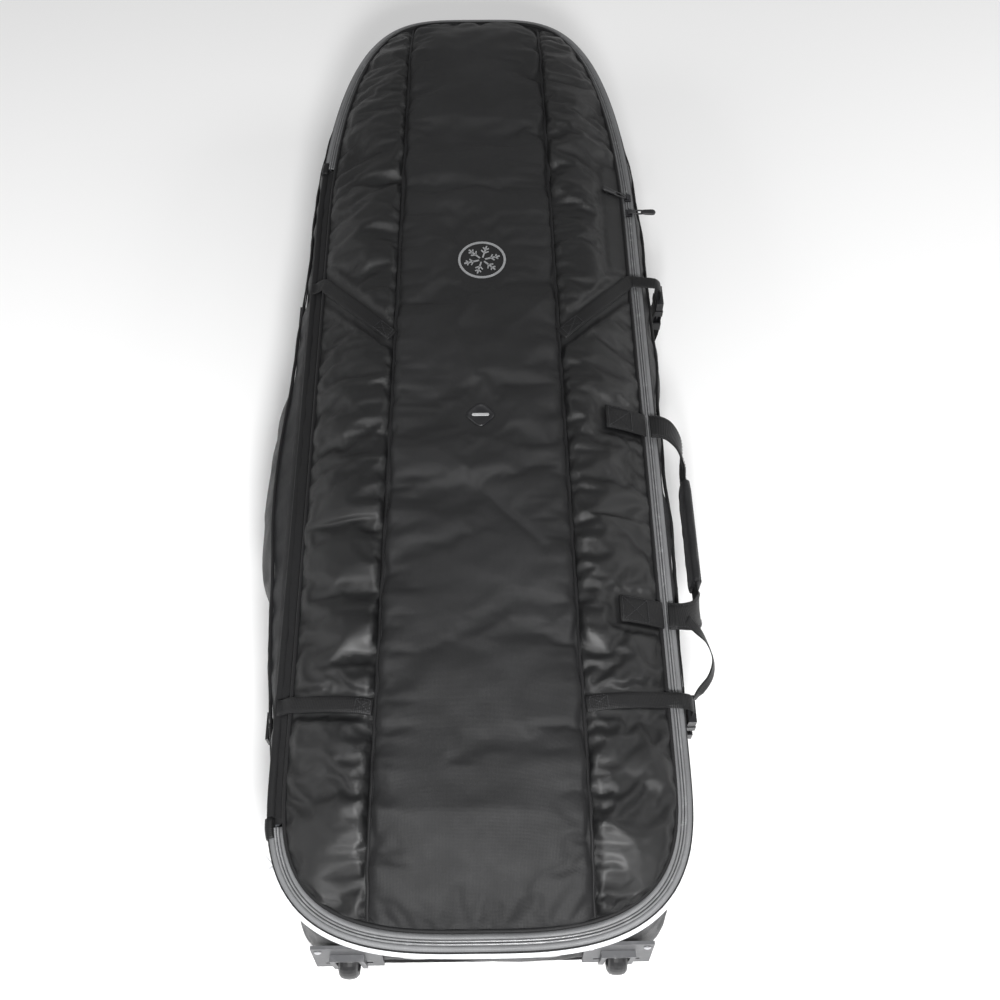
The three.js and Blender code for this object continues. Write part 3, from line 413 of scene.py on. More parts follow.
def skin(name, P, slot, body, **more):
    """One closed piece from rings of points, capped at both ends."""
    mesh = grid_mesh(name, P, uv_for(P, False, True), wrap_cols=True, caps=True)
    return finish_mesh(name, mesh, slot, body, **more)


def rim_sweep(name, s0, s1, profile, step=0.01, slot="binding", body="base", closed=False, ripple=0.0, replaces=()):
    """Sweep a closed (offset, height) profile along the plan curve."""
    count = max(8, int(abs(s1 - s0) / step))
    s = np.linspace(s0, s1, count + 1)
    if closed:
        s = s[:-1]
    wobble = lambda rate, seed: np.array([noise.noise(Vector((t * rate, seed, 0))) for t in s]) * ripple
    out, z = np.array(profile).T[:, None]
    P = along_rim(s, out + wobble(9, 1)[:, None], z + wobble(14, 6)[:, None])
    mesh = grid_mesh(name, P, uv_for(P, closed, True), wrap_rows=closed, wrap_cols=True, caps=not closed)
    return finish_mesh(name, mesh, slot, body, replaces=replaces)


def circle(o, z, r, sides=8):
    a = turn(sides)
    return np.stack([o + r * np.cos(a), z + r * np.sin(a)], -1)


def squared(c, power):
    """A sine or cosine flattened so that a circle turns into a rounded rectangle."""
    return np.sign(c) * np.abs(c) ** power


def smooth_path(points, per=6):
    """Catmull-Rom curve through points."""
    p = np.array(points, float)
    ext = np.vstack([2 * p[0] - p[1], p, 2 * p[-1] - p[-2]])
    out = []
    for i in range(1, len(ext) - 2):
        a, b, c, d = ext[i - 1:i + 3]
        for t in np.linspace(0, 1, per, endpoint=False):
            out.append(0.5 * (2 * b + (c - a) * t + (2 * a - 5 * b + 4 * c - d) * t ** 2
                              + (3 * b - a - 3 * c + d) * t ** 3))
    return np.array(out + [ext[-2]])


def strap_frames(points, faces, per=6):
    """Points along a strap, with the way its face looks and the direction across it."""
    path = smooth_path(points, per)
    look = smooth_path(faces, per)
    along = np.gradient(path, axis=0)
    along /= np.linalg.norm(along, axis=1)[:, None]
    look = look - (look * along).sum(1)[:, None] * along
    look /= np.linalg.norm(look, axis=1)[:, None]
    return path, look, np.cross(along, look)


def strap(name, points, faces, width, thick, body, replaces=(), slot="webbing", per=6, cup=0.0, sewn=()):
    """Webbing with rounded selvedges through points, its face looking along faces.

    sewn holds a name and two shares of the length for each sewn box on it."""
    path, look, across = strap_frames(points, faces, per)
    h, t = width / 2, thick / 2
    section = [(-h, 0), (-h + t, -t), (-h * 0.5, -t), (0, -t), (h * 0.5, -t), (h - t, -t), (h, 0), (h - t, t),
               (h * 0.5, t), (0, t), (-h * 0.5, t), (-h + t, t)]
    P = np.stack([path + across * a + look * (b - cup * (a / h) ** 2) for a, b in section], 1)
    skin(name, P, slot, body, replaces=replaces)
    for box, span in sewn:
        sewn_box(box, points, faces, width, thick, body, span)


def tube(name, points, r, body, slot):
    """Round cord through points."""
    path = smooth_path(points, 5)
    along = np.gradient(path, axis=0)
    along /= np.linalg.norm(along, axis=1)[:, None]
    u = np.cross(along, np.array([0.13, 0.21, 0.97]))  # a direction that no cord here runs along
    u /= np.linalg.norm(u, axis=1)[:, None]
    w = np.cross(along, u)
    a = turn(8)
    P = path[:, None] + r * (np.cos(a)[None, :, None] * u[:, None] + np.sin(a)[None, :, None] * w[:, None])
    return skin(name, P, slot, body)


def at_run(s, run, A):
    return np.array([np.interp(s, run, A[:, k]) for k in range(3)])


def stitches(name, path, look, body, pitch=0.0045, length=0.0032):
    """A row of short thread segments along a path, lying on the surface whose normal is look."""
    r, lift = 0.00035, 0.0003
    path, look = np.array(path), np.array(look)
    run = run_lengths(path)
    verts, faces = [], []
    for c in np.arange(pitch / 2, run[-1], pitch):
        ends = []
        for e in (c - length / 2, c, c + length / 2):
            p, q = at_run(e, run, path), at_run(e, run, look)
            ends.append((p, q / np.linalg.norm(q)))
        along = ends[2][0] - ends[0][0]
        along /= np.linalg.norm(along) or 1
        base = len(verts)
        for k, (p, q) in enumerate(ends):
            side = np.cross(along, q)
            high = lift + (r if k == 1 else -r * 0.6)
            for a, b in ((-1, 0), (0, 1), (1, 0), (0, -1)):
                verts.append((p + side * a * r + q * (high + b * r)).tolist())
        for ring in range(2):
            for k in range(4):
                a, b = base + ring * 4 + k, base + ring * 4 + (k + 1) % 4
                faces.append((a, b, b + 4, a + 4))
        faces += [(base + 3, base + 2, base + 1, base), (base + 8, base + 9, base + 10, base + 11)]
    mesh = bpy.data.meshes.new(name)
    mesh.from_pydata(verts, [], faces)
    fix_normals(mesh)
    return finish_mesh(name, mesh, "thread", body)


def edge_stitches(name, points, faces, reach, body):
    """A row of stitches along each edge of a strap."""
    path, look, across = strap_frames(points, faces)
    for k, end in ((-1, "a"), (1, "b")):
        stitches(name + end, path + across * k * reach + look * 0.0011, look, body)


def sewn_box(name, points, faces, width, thick, body, span):
    """A sewn box, with a cross in it, on the outer face of a strap between two shares of its length."""
    path, look, across = strap_frames(points, faces)
    run = run_lengths(path)
    a, b = span[0] * run[-1], span[1] * run[-1]
    h = width / 2 - 0.0025
    corners = [(a, -h), (b, -h), (b, h), (a, h), (a, -h), (b, h), (b, -h), (a, h)]
    pts, lks = [], []
    for (s0, w0), (s1, w1) in zip(corners, corners[1:]):
        for t in np.linspace(0, 1, 8):
            s, w = s0 + (s1 - s0) * t, w0 + (w1 - w0) * t
            pts.append(at_run(s, run, path) + at_run(s, run, across) * w + at_run(s, run, look) * thick / 2)
            lks.append(at_run(s, run, look))
    stitches(name, pts, lks, body, 0.004, 0.0028)


def keep_cad(node, slot, width=0.0):
    """Keep a part of the frame, with its look and with edges softened by width."""
    obj = NODES[node]
    obj.data.materials.clear()
    obj.data.materials.append(MAT[slot])
    if width:
        mod = obj.modifiers.new("soft_edges", "BEVEL")
        mod.width, mod.segments, mod.limit_method, mod.angle_limit = width, 3, "ANGLE", 0.5
        mod.harden_normals = False


# ---- cloth
def simulate(mesh_obj, pins, grow, pressure, bend, cap, floor):
    """Let the sheet swell and buckle between its sewn lines, by at most cap, and inward by at most floor."""
    frames, stiff = 20, 18
    start, normal = vertex_arrays(mesh_obj.data)
    group = mesh_obj.vertex_groups.new(name="sewn")
    for w in sorted(set(np.round(pins, 2))):
        if w > 0:
            group.add([int(i) for i in np.nonzero(np.round(pins, 2) == w)[0]], float(w), "REPLACE")
    mod = mesh_obj.modifiers.new("cloth", "CLOTH")
    c = mod.settings
    c.quality, c.mass, c.air_damping = 6, 0.25, 2.0
    c.tension_stiffness = c.compression_stiffness = stiff
    c.shear_stiffness, c.bending_stiffness = stiff / 3, bend
    c.vertex_group_mass, c.pin_stiffness = "sewn", 1.0
    c.shrink_min = -grow
    c.use_pressure, c.uniform_pressure_force = True, pressure
    c.effector_weights.gravity = 0
    mod.collision_settings.use_collision = False
    mod.point_cache.frame_start, mod.point_cache.frame_end = 1, frames
    scene = bpy.context.scene
    scene.frame_start, scene.frame_end = 1, frames
    for f in range(1, frames + 1):
        scene.frame_set(f)
        bpy.context.view_layer.update()
    moved = vertex_arrays(mesh_obj.evaluated_get(bpy.context.evaluated_depsgraph_get()).data)[0]
    mesh_obj.modifiers.remove(mod)
    mesh_obj.vertex_groups.clear()
    scene.frame_set(1)
    delta = moved - start
    size = np.linalg.norm(delta, axis=1)
    delta *= np.minimum(1, cap / np.maximum(size, 1e-9))[:, None]
    inward = (delta * normal).sum(1)
    delta -= normal * np.minimum(inward + floor, 0)[:, None]
    return start + delta


def noise_push(P, N, amount, seed):
    """Gentle irregular swelling along the normals."""
    k = np.array([noise.fractal(Vector(p * 7.0) + Vector((seed, 0, 0)), 0.9, 2.1, 4) for p in P])
    return P + N * (k * amount)[:, None]


def vertex_arrays(me):
    """A mesh's points and normals."""
    a = np.empty(len(me.vertices) * 3)
    b = np.empty(len(me.vertices) * 3)
    me.vertices.foreach_get("co", a)
    me.vertices.foreach_get("normal", b)
    return a.reshape(-1, 3), b.reshape(-1, 3)


SHAPE = {}  # each soft sheet's points once it is swollen, before its thickness


def soft_sheet(name, P, slot, body, pins, grow, pressure, bend, cap, floor, puff, seed, replaces,
               solid=0.002, wrap_rows=False, drop=None):
    """A sewn fabric panel: grid of points, swollen and wrinkled by simulation, then given its thickness."""
    mesh = grid_mesh(name, P, uv_for(P, wrap_rows, False), wrap_rows=wrap_rows)
    co, no = vertex_arrays(mesh)
    below = P.mean(axis=(0, 1)) - np.array([0, 0, 0.3])
    if (no * (co - below)).sum() < 0:
        mesh.flip_normals()
        co, no = vertex_arrays(mesh)
    free = 1 - np.clip(pins.reshape(-1), 0, 1)
    co = noise_push(co, no * free[:, None], puff, seed)
    mesh.vertices.foreach_set("co", co.ravel())
    obj = finish_mesh(name, mesh, slot, None)
    co = simulate(obj, pins.reshape(-1), grow, pressure, bend, cap, floor)
    obj.data.vertices.foreach_set("co", co.ravel())
    obj.data.update()
    SHAPE[name] = co.reshape(P.shape)
    if drop:
        cut(obj.data, drop)
    mod = obj.modifiers.new("thickness", "SOLIDIFY")
    mod.thickness, mod.offset = solid, -1
    mod = obj.modifiers.new("smooth", "SUBSURF")
    mod.levels = mod.render_levels = 1
    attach(obj, body)
    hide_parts(*replaces)
    return obj


# ---- camera, light, floor
def camera_and_light():
    cam = bpy.data.cameras.new("camera")
    cam.lens, cam.sensor_width, cam.clip_end = 41.4, 36, 50
    obj = bpy.data.objects.new("camera", cam)
    bpy.context.scene.collection.objects.link(obj)
    obj.location = (0.013, -0.957, 1.547)
    el, az, roll = math.radians(59.94), math.radians(-1.164), math.radians(0.336)
    fwd = Vector((-math.sin(az) * math.cos(el), math.cos(az) * math.cos(el), -math.sin(el)))
    right = Vector((math.cos(az), math.sin(az), 0))
    up = right.cross(fwd)
    r2 = right * math.cos(roll) + up * math.sin(roll)
    u2 = -right * math.sin(roll) + up * math.cos(roll)
    obj.matrix_world = Matrix.Translation(obj.location) @ Matrix((r2, u2, -fwd)).transposed().to_4x4()
    bpy.context.scene.camera = obj
    world = bpy.data.worlds.new("studio")
    world.use_nodes = True
    world.node_tree.nodes["Background"].inputs[0].default_value = (1, 1, 1, 1)
    world.node_tree.nodes["Background"].inputs[1].default_value = 0.45
    bpy.context.scene.world = world
    bpy.context.scene.view_settings.view_transform = "Standard"

    def area(name, loc, aim, size, power):
        light = bpy.data.lights.new(name, "AREA")
        light.shape, light.size, light.energy = "SQUARE", size, power
        o = bpy.data.objects.new(name, light)
        o.location = loc
        o.rotation_euler = (Vector(aim) - Vector(loc)).to_track_quat("-Z", "Y").to_euler()
        bpy.context.scene.collection.objects.link(o)

    area("key", (0.10, -1.30, 1.42), (0, -0.35, 0.2), 0.30, 38)
    area("left", (-2.3, -0.5, 1.7), (0, 0, 0.2), 1.3, 21)
    area("right", (2.3, 0.5, 1.5), (0, 0, 0.2), 1.1, 17)
    mesh, low = bpy.data.meshes.new("floor"), -0.0004
    mesh.from_pydata([(-6, -6, low), (6, -6, low), (6, 6, low), (-6, 6, low)], [], [(0, 1, 2, 3)])
    floor = bpy.data.objects.new("floor", mesh)
    bpy.context.scene.collection.objects.link(floor)
    m, _, _, bsdf = nodes_of("floor_paper")
    bsdf.inputs["Base Color"].default_value = (0.9, 0.9, 0.9, 1)
    bsdf.inputs["Roughness"].default_value = 0.9
    mesh.materials.append(m)


camera_and_light()


# ---- where straps and patches press on the cloth
STRAP, STRAP_THICK = 0.020, 0.0016
STRAPS = (("upper", 0.790, 0.908), ("lower", 0.252, 0.266))  # v at the seam and at the rim
EMBLEM, PATCH = (0.008, 0.925, 0.036), (0.004, 0.655, 0.020)  # x, v and the radius that lies flat
TABS = (0.375, 0.655)  # v of the side handle's two ends


def strap_line(seam_v, edge_v, n=12):
    """The line of a lid strap from the seam to the rim, as x and v."""
    t = np.linspace(0, 1, n)
    x0 = float(seam_half(seam_v)) + 0.003
    return x0 + (HALF_WIDTH - RIM - 0.001 - x0) * t, seam_v + (edge_v - seam_v) * t ** 1.15


def distance_to(px, pv, qx, qv):
    """Distance of the points p from the line through the points q."""
    best = np.full(np.broadcast(px, pv).shape, 9.0)
    for ax, av, bx, bv in zip(qx, qv, qx[1:], qv[1:]):
        t = np.clip(((px - ax) * (bx - ax) + (pv - av) * (bv - av)) / ((bx - ax) ** 2 + (bv - av) ** 2), 0, 1)
        best = np.minimum(best, np.hypot(px - ax - (bx - ax) * t, pv - av - (bv - av) * t))
    return best


def held(d, near, far):
    """1 up to near and 0 from far on."""
    return 1 - ease(d, near, far)


def fold(px, pv, line, height, width):
    """A creased ridge, or with negative height a pinched valley, along a line of (x, v) points."""
    line = np.array(line)
    t = distance_to(px, pv, line[:, 0], line[:, 1]) / width
    return height * np.exp(-np.sqrt(t * t + 0.04) + 0.2)


def field(A, B, seed):
    """Smooth noise sampled at two coordinate arrays."""
    A, B = np.broadcast_arrays(A, B)
    flat = [noise.fractal(Vector((a, b, seed)), 0.8, 2.0, 3) for a, b in zip(A.ravel(), B.ravel())]
    return np.array(flat).reshape(A.shape)


# ---- lid
def clustered(n):
    """Shares from 0 to 1, crowded at both ends."""
    return (1 - np.cos(np.linspace(0, math.pi, n))) / 2


def even_ends(n):
    """Shares from 0 to 1, a little closer at both ends."""
    t = np.linspace(0, 1, n)
    return 0.82 * t + 0.18 * (1 - np.cos(np.pi * t)) / 2


def edge_pins(rows, cols):
    pins = np.zeros((rows, cols))
    pins[0], pins[-1], pins[:, 0], pins[:, -1] = 1, 1, 1, 1
    return pins


def gathers(away, high, reach, noise_field):
    """Cloth drawn together at a long seam: folds that die away from it."""
    return high * np.exp(-away / reach) * (1 - np.exp(-away / 0.005)) * noise_field


def seam_dip(away):
    return 0.005 * np.exp(-(away / 0.007) ** 2)


def loose(pins):
    """How freely the cloth lies where a strap or patch presses on it; the sewn edge itself counts as free."""
    return 1 - np.where(pins < 1, pins, 1)


CREASES = (  # (x, v) points, height, width: ridges, and valleys where the height is negative
    (((-0.006, 0.835), (-0.030, 0.795), (-0.004, 0.715)), 0.0062, 0.009),
    (((-0.075, 0.88), (-0.020, 0.93), (-0.038, 0.99)), -0.0030, 0.008),
    (((0.004, 0.545), (0.030, 0.515), (0.080, 0.455)), -0.0045, 0.008),
    (((-0.10, 0.62), (-0.05, 0.60), (-0.01, 0.57)), 0.0022, 0.010),
    (((0.05, 0.80), (0.09, 0.84), (0.10, 0.86)), 0.0050, 0.008),
    (((-0.115, 0.126), (0.0, 0.132), (0.115, 0.126)), 0.0034, 0.013),
    (((-0.06, 1.06), (0.0, 1.075), (0.06, 1.05)), -0.0022, 0.011),
    (((-0.10, 0.30), (-0.04, 0.33), (0.02, 0.31)), -0.0018, 0.012),
)


def lid_centre():
    """Matt panel between the seams."""
    cols, rows = 51, 290
    t = even_ends(rows)[:, None]
    c = np.linspace(-1, 1, cols)[None, :]
    xf, xh = c * SEAM_FOOT, c * SEAM_HEAD
    vf = RIM + 0.001 + FOOT_ROUND * (1 - (1 - (np.abs(xf) / HALF_WIDTH) ** FOOT_POWER) ** (1 / FOOT_POWER))
    vh = HEAD_START + HEAD_ROUND * np.sqrt(1 - (xh / HALF_WIDTH) ** 4) - RIM - 0.001
    v = vf + (vh - vf) * t
    x = c * seam_half(v)
    z = lid_top(x, v)
    away = seam_half(v) - np.abs(x)
    gather = gathers(away, 0.0125, 0.022, field(v * 24, np.sign(x) * 4, 2.0))
    waves = 0.0050 * field(x * 7 + v * 3, v * 9 - x * 4, 5.0)
    creases = sum(fold(x, v, *crease) for crease in CREASES)
    ends = np.clip((v - 0.012) / 0.03, 0, 1), np.clip((LENGTH - v - 0.012) / 0.03, 0, 1)
    keep = np.clip(away / 0.008, 0, 1) * ends[0] * ends[1]
    pins = edge_pins(rows, cols)
    for ex, ev, r in (EMBLEM, PATCH):
        pins = np.maximum(pins, held(np.hypot(x - ex, v - ev), r, r + 0.02))
    z = z + (gather + waves + creases) * keep * loose(pins)
    P = np.stack([x, y_of(v), z - seam_dip(away)], -1)
    return soft_sheet("lid_center", P, "lid_nylon", "lid", pins, grow=0.035, pressure=0.8, bend=0.5, cap=0.007,
                      floor=0.003, puff=0.0015, seed=11, replaces=("lid_center_panel", "lid_foam_core"))


def lid_side(side, seed):
    """Shinier panel between a long seam and the rim, pleated and wrinkled."""
    lo, hi = 0.0, LENGTH
    while half_at(lo, PANEL_IN) < seam_half(lo) + 0.008:
        lo += 0.0005
    while half_at(hi, PANEL_IN) < seam_half(hi) + 0.008:
        hi -= 0.0005
    cols, rows = 25, 290
    v = (lo + (hi - lo) * even_ends(rows))[:, None]
    c = np.linspace(0, 1, cols)[None, :]
    inner, outer = seam_half(v), half_at(v, PANEL_IN)
    x = inner + (outer - inner) * c
    v = v + 0 * c
    pins = edge_pins(rows, cols)
    pins[(outer - inner)[:, 0] < 0.03] = 1
    for _, seam_v, edge_v in STRAPS:
        pins = np.maximum(pins, held(distance_to(x, v, *strap_line(seam_v, edge_v)), 0.012, 0.026))
    if side > 0:
        for tab in TABS:
            pins = np.maximum(pins, held(np.abs(v - tab), 0.020, 0.034) * ease(x, 0.150, 0.168))
        pins = np.maximum(pins, held(np.abs(v - 1.030), 0.105, 0.135) * ease(x, 0.176, 0.193))
    away = x - inner
    gather = gathers(away, 0.0135, 0.024, field(v * 24, 0 * v + side * 7, 3.0))
    lean = np.where(v < 0.5, -1.0, 0.7)
    across, along = v * 0.83 + lean * (x - inner) * 0.75, x * 0.9
    strong = 0.35  # the pleats, deeper at three places
    for more, at, near, far in ((0.9, 0.20, 0.05, 0.13), (0.6, 1.13, 0.06, 0.2), (0.35, 0.62, 0.05, 0.16)):
        strong = strong + more * held(np.abs(v - at), near, far)
    pleats = 0.0080 * strong * field(across * 15, along * 5, seed + 0.5)
    edge = np.clip(away / 0.008, 0, 1) * np.clip((outer - x) / 0.012, 0, 1)
    lift = (gather + pleats + 0.003) * edge * loose(pins)
    pressed = 0.002 * np.where(pins < 1, pins, 0)
    P = np.stack([side * x, y_of(v), lid_top(x, v) + lift - seam_dip(away) - pressed], -1)
    return soft_sheet("lid_side_" + SIDE_NAME[side], P, "side_nylon", "lid", pins, grow=0.045, pressure=0.45,
                      bend=1.0, cap=0.013, floor=0.007, puff=0.001, seed=seed,
                      replaces=("lid_side_panel_" + SIDE_NAME[side],))


CENTRE = lid_centre()
SIDES = {-1: lid_side(-1, 21), 1: lid_side(1, 31)}


def lid_inside():
    """Quilted lining sheet on the underside, and the bound edge round it."""
    rows, cols = 150, 46
    v = (0.021 + (LENGTH - 0.042) * even_ends(rows))[:, None]
    c = np.linspace(-1, 1, cols)[None, :]
    x = c * np.maximum(half_at(v, 0.02), 0.02)
    quilt = np.abs(np.sin((x + v) * math.pi / 0.09)) * np.abs(np.sin((x - v) * math.pi / 0.09))
    z = 0.2385 - 0.0035 * np.sqrt(quilt) * (1 - np.abs(c) ** 8)
    low = np.stack([x, y_of(v + 0 * c), z], -1)
    high = low[:, ::-1].copy()
    high[:, :, 2] = 0.2405
    obj = skin("lid_lining_quilt", np.concatenate([low, high], 1), "lining_fabric", "lid", replaces=("lid_lining",))
    edge = [(-0.022, 0.2395), (-0.0105, 0.2418), (-0.0088, 0.2440), (-0.0096, 0.2478), (-0.0125, 0.2492),
            (-0.022, 0.2475)]
    rim_sweep("lid_edge_binding", -RUN, RUN, edge, closed=True, body="lid")
    rim_sweep("lid_edge_piping", -RUN, RUN, circle(-0.0104, 0.2490, 0.0026), closed=True, body="lid", ripple=0.0006)


def lid_seams():
    """Gathered welt along each long seam."""
    for side, label in SIDE_NAME.items():
        v = np.linspace(0.0195, LENGTH - 0.0205, 420)
        x = seam_half(v) * side
        pucker = np.array([noise.noise(Vector((t * 34, side * 3.0, 0))) for t in v])
        z = lid_top(np.abs(x), v) - 0.0032 + 0.0009 * pucker
        a = turn(8)
        r = (0.0021 + 0.0006 * pucker)[:, None]
        P = np.stack([(x + 0.0016 * pucker)[:, None] + r * np.cos(a), y_of(v)[:, None] + 0 * r * a,
                      z[:, None] + r * np.sin(a)], -1)
        skin("seam_welt_" + label, P, "binding", "lid")


lid_inside()
lid_seams()


# ---- tub
def near_wheel(half, foot, high=1.0):
    """Test for a point within half of either wheel's middle, past y = foot and below high."""
    return lambda p: abs(abs(p.x) - WHEEL_X) < half and p.y < foot and p.z < high


def tub_wall():
    """Outer fabric of the four walls, open where the wheels stand in it."""
    count, rows = 380, 30
    s = np.linspace(-RUN, RUN, count + 1)[:-1]
    P = np.stack([wall(s, h) for h in np.linspace(0.0035, TOP, rows)], 1)
    for _ in range(3):
        P[:, 1:-1, :2] = (P[:, :-2, :2] + 2 * P[:, 1:-1, :2] + P[:, 2:, :2]) / 4
    pins = np.zeros((count, rows))
    pins[:, 0], pins[:, -1] = 1, 1
    x, v, z = np.abs(P[..., 0]), P[..., 1] + LENGTH / 2, P[..., 2]
    pins[(v < 0.06) & (np.abs(x - WHEEL_X) < 0.05) & (z < 0.095)] = 1  # under the wheel housings
    pins = np.maximum(pins, held(np.hypot(x - 0.07, z - 0.188), 0.024, 0.045) * (v < 0.1))  # at the stand feet
    for _, _, edge_v in STRAPS:
        pins = np.maximum(pins, held(np.abs(v - edge_v), 0.014, 0.030))
    at_anchor = np.hypot(x - 0.09, np.maximum(LENGTH - v, 0) * 0.3)  # of the end handle
    pins = np.maximum(pins, held(at_anchor, 0.03, 0.06) * (v > 1.4))
    outward = np.stack([loop(s)[3], loop(s)[4]], -1)[:, None, :]
    hang = 0.0050 * np.maximum(field(s[:, None] * 5.5, z * 26, 8.0), -0.1)
    hang = hang * np.sin(np.linspace(0, math.pi, rows)) ** 0.7
    P[..., :2] += outward * (hang * (1 - pins) * ease(v, 0.02, 0.2))[..., None]
    return soft_sheet("tub_wall", P, "wall_fabric", "base", pins, grow=0.014, pressure=0.45, bend=2.5, cap=0.008,
                      floor=0.0015, puff=0.004, seed=41, solid=0.0022, wrap_rows=True,
                      drop=near_wheel(0.0175, -0.69, 0.060),
                      replaces=("side_gusset_left", "side_gusset_right", "head_gusset", "foot_gusset"))


def tub_inside():
    """Lining of the compartment's walls, in shallow quilted bands."""
    s = np.linspace(-RUN, RUN, 221)[:-1]
    heights = np.linspace(0.0130, TOP, 16)
    rings = [wall(s, h, 0.0095) for h in heights]
    puffs = np.sin(np.arange(len(heights)) * math.pi / 4) ** 2 * 0.0016
    _, _, _, nx, nv, *_ = loop(s)
    for ring, puff in zip(rings, puffs):
        ring[:, 0] -= nx * puff
        ring[:, 1] -= nv * puff
    P = np.stack(rings + [wall(s, TOP, 0.0005)], 1)
    mesh = grid_mesh("tub_lining", P, uv_for(P, True, False), wrap_rows=True)
    obj = finish_mesh("tub_lining", mesh, "lining_fabric", "base")
    mod = obj.modifiers.new("thickness", "SOLIDIFY")
    mod.thickness, mod.offset = 0.001, 0


def plan_slab(name, inset, z0, z1, slot, replaces, drop, quilt=0.0):
    """Slab that follows the base outline, quilted on its upper face."""
    lx, lv, lnx, lnv = loop(np.linspace(0, RUN, 900))[5:]
    px, pv = lx - lnx * inset, lv - lnv * inset
    order = np.argsort(pv)
    rows, cols = 170, 50
    lo, hi = pv.min() + 0.0005, pv.max() - 0.0005
    vv = (lo + (hi - lo) * clustered(rows))[:, None]
    half = np.interp(vv, pv[order], np.maximum(px[order], 0.01))
    c = np.linspace(-1, 1, cols)[None, :]
    xx = c * half
    d = 0.085
    q = np.sqrt(np.abs(np.sin((xx + vv) * math.pi / d)) * np.abs(np.sin((xx - vv) * math.pi / d)))
    q = q * (1 - np.abs(c) ** 10) * quilt
    up = np.stack([xx, y_of(vv + 0 * c), z1 + q], -1)
    under = np.stack([xx, y_of(vv + 0 * c), z0 + 0 * xx], -1)[:, ::-1]
    obj = skin(name, np.concatenate([up, under], 1), slot, "base", replaces=replaces)
    cut(obj.data, drop)


tub_wall()
tub_inside()
plan_slab("tub_floor_pad", 0.010, 0.0060, 0.0115, "lining_fabric", ("back_foam_pad",),
          near_wheel(0.024, -0.687), quilt=0.0018)
plan_slab("back_sheet", 0.0, 0.0003, 0.0045, "wall_fabric", ("back_panel",), near_wheel(0.016, -0.699))


def tub_trim():
    """Binding round the tub's rim, piping round its base and a welt round the wall a little below the rim."""
    edge = [(0.0010, 0.2380), (0.0012, 0.2398), (0.0095, 0.2398), (0.0108, 0.2385), (0.0104, 0.2290),
            (0.0085, 0.2285)]
    rim_sweep("rim_binding", -RUN, RUN, edge, closed=True, ripple=0.0004)
    s = np.linspace(-RUN, RUN, 381)[:-1]  # the runs of the wall's own points
    _, _, _, nx, nv, *_ = loop(s)
    a = turn(8)
    for name, row, r, out in (("base_piping", 0, 0.003, 0.0012), ("upper_welt", 26, 0.0024, 0.0018)):
        line = SHAPE["tub_wall"][:, row]
        line = sum(np.roll(line, k, axis=0) for k in range(-4, 5)) / 9
        p = line + np.stack([nx * out, nv * out, 0 * nx + (0.003 if row == 0 else 0)], -1)
        P = np.stack([p[:, None, 0] + r * np.cos(a) * nx[:, None], p[:, None, 1] + r * np.cos(a) * nv[:, None],
                      p[:, None, 2] + r * np.sin(a)], -1)
        mesh = grid_mesh(name, P, uv_for(P, True, True), wrap_rows=True, wrap_cols=True)
        if name == "base_piping":
            cut(mesh, near_wheel(0.024, -0.69), fill=True)
        finish_mesh(name, mesh, "binding", "base")


tub_trim()


def hinge_fabric():
    """Fabric strip between the lid's edge and the left wall, fixed where it is built."""
    v = np.linspace(ZIP_END_FOOT + 0.004, ZIP_END_HEAD - 0.004, 150)
    p = wall(-np.array([run_at(t) for t in v]), 0.233, -0.0012)
    edge = -half_at(v, 0.0095)
    section = []
    for share, z in ((0, 0), (0.25, 0.0042), (0.5, 0.0068), (0.75, 0.0085), (1, 0.0098)):
        section.append(np.stack([p[:, 0] + (edge - p[:, 0]) * share, y_of(v), 0.233 + z + 0 * v], -1))
    P = np.stack(section, 1)
    P[:, 1:-1, 2] += 0.0009 * np.array([noise.noise(Vector((t * 40, 0, 2))) for t in v])[:, None]
    low = P[:, ::-1] - np.array([0, 0, 0.0012])
    obj = skin("hinge_fabric", np.concatenate([P, low], 1), "binding", None, replaces=("hinge_strip",))
    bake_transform(obj)


hinge_fabric()


# ---- zipper
ZIP0, ZIP1 = -run_at(ZIP_END_FOOT), 2 * RUN - run_at(ZIP_END_HEAD)


def zipper():
    """A woven tape and a ribbed coil on each side of the zipper's line, round three sides of the rim."""
    low = 0.2402
    tape = [(0.0034, low), (0.0060, 0.2400), (0.0090, 0.2400), (0.0090, 0.2411), (0.0060, 0.2414), (0.0034, 0.2418)]
    coil = np.array([(0.0002, low), (0.0002, 0.2428), (0.0010, 0.2437), (0.0022, 0.2435), (0.0031, 0.2424),
                     (0.0032, low)])
    half_pitches = int((ZIP1 - ZIP0) / 0.0019) * 2
    s = np.linspace(ZIP0, ZIP1, half_pitches + 1)
    big = (np.arange(len(s)) % 2)[:, None]
    for side, body in ((-1, "lid"), (1, "base")):
        rim_sweep("zip_tape_" + body, ZIP0, ZIP1, [(side * o, z) for o, z in tape], body=body, slot="zipper_tape",
                  replaces=("zipper_tape_" + body,))
        out = side * np.where(big, coil[:, 0], 0.0004 + coil[:, 0] * 0.82)
        z = np.where(big, coil[:, 1], low + (coil[:, 1] - low) * 0.72)
        skin("zip_coil_" + body, along_rim(s, out, z), "zipper_coil", body, replaces=("zipper_coil_" + body,))


zipper()
PIPING = (-run_at(0.088), run_at(0.100))
rim_sweep("foot_reflective_piping", *PIPING, circle(0.0122, 0.2358, 0.0030, 10), step=0.006,
          slot="reflective_piping", ripple=0.0004, replaces=("foot_piping",))


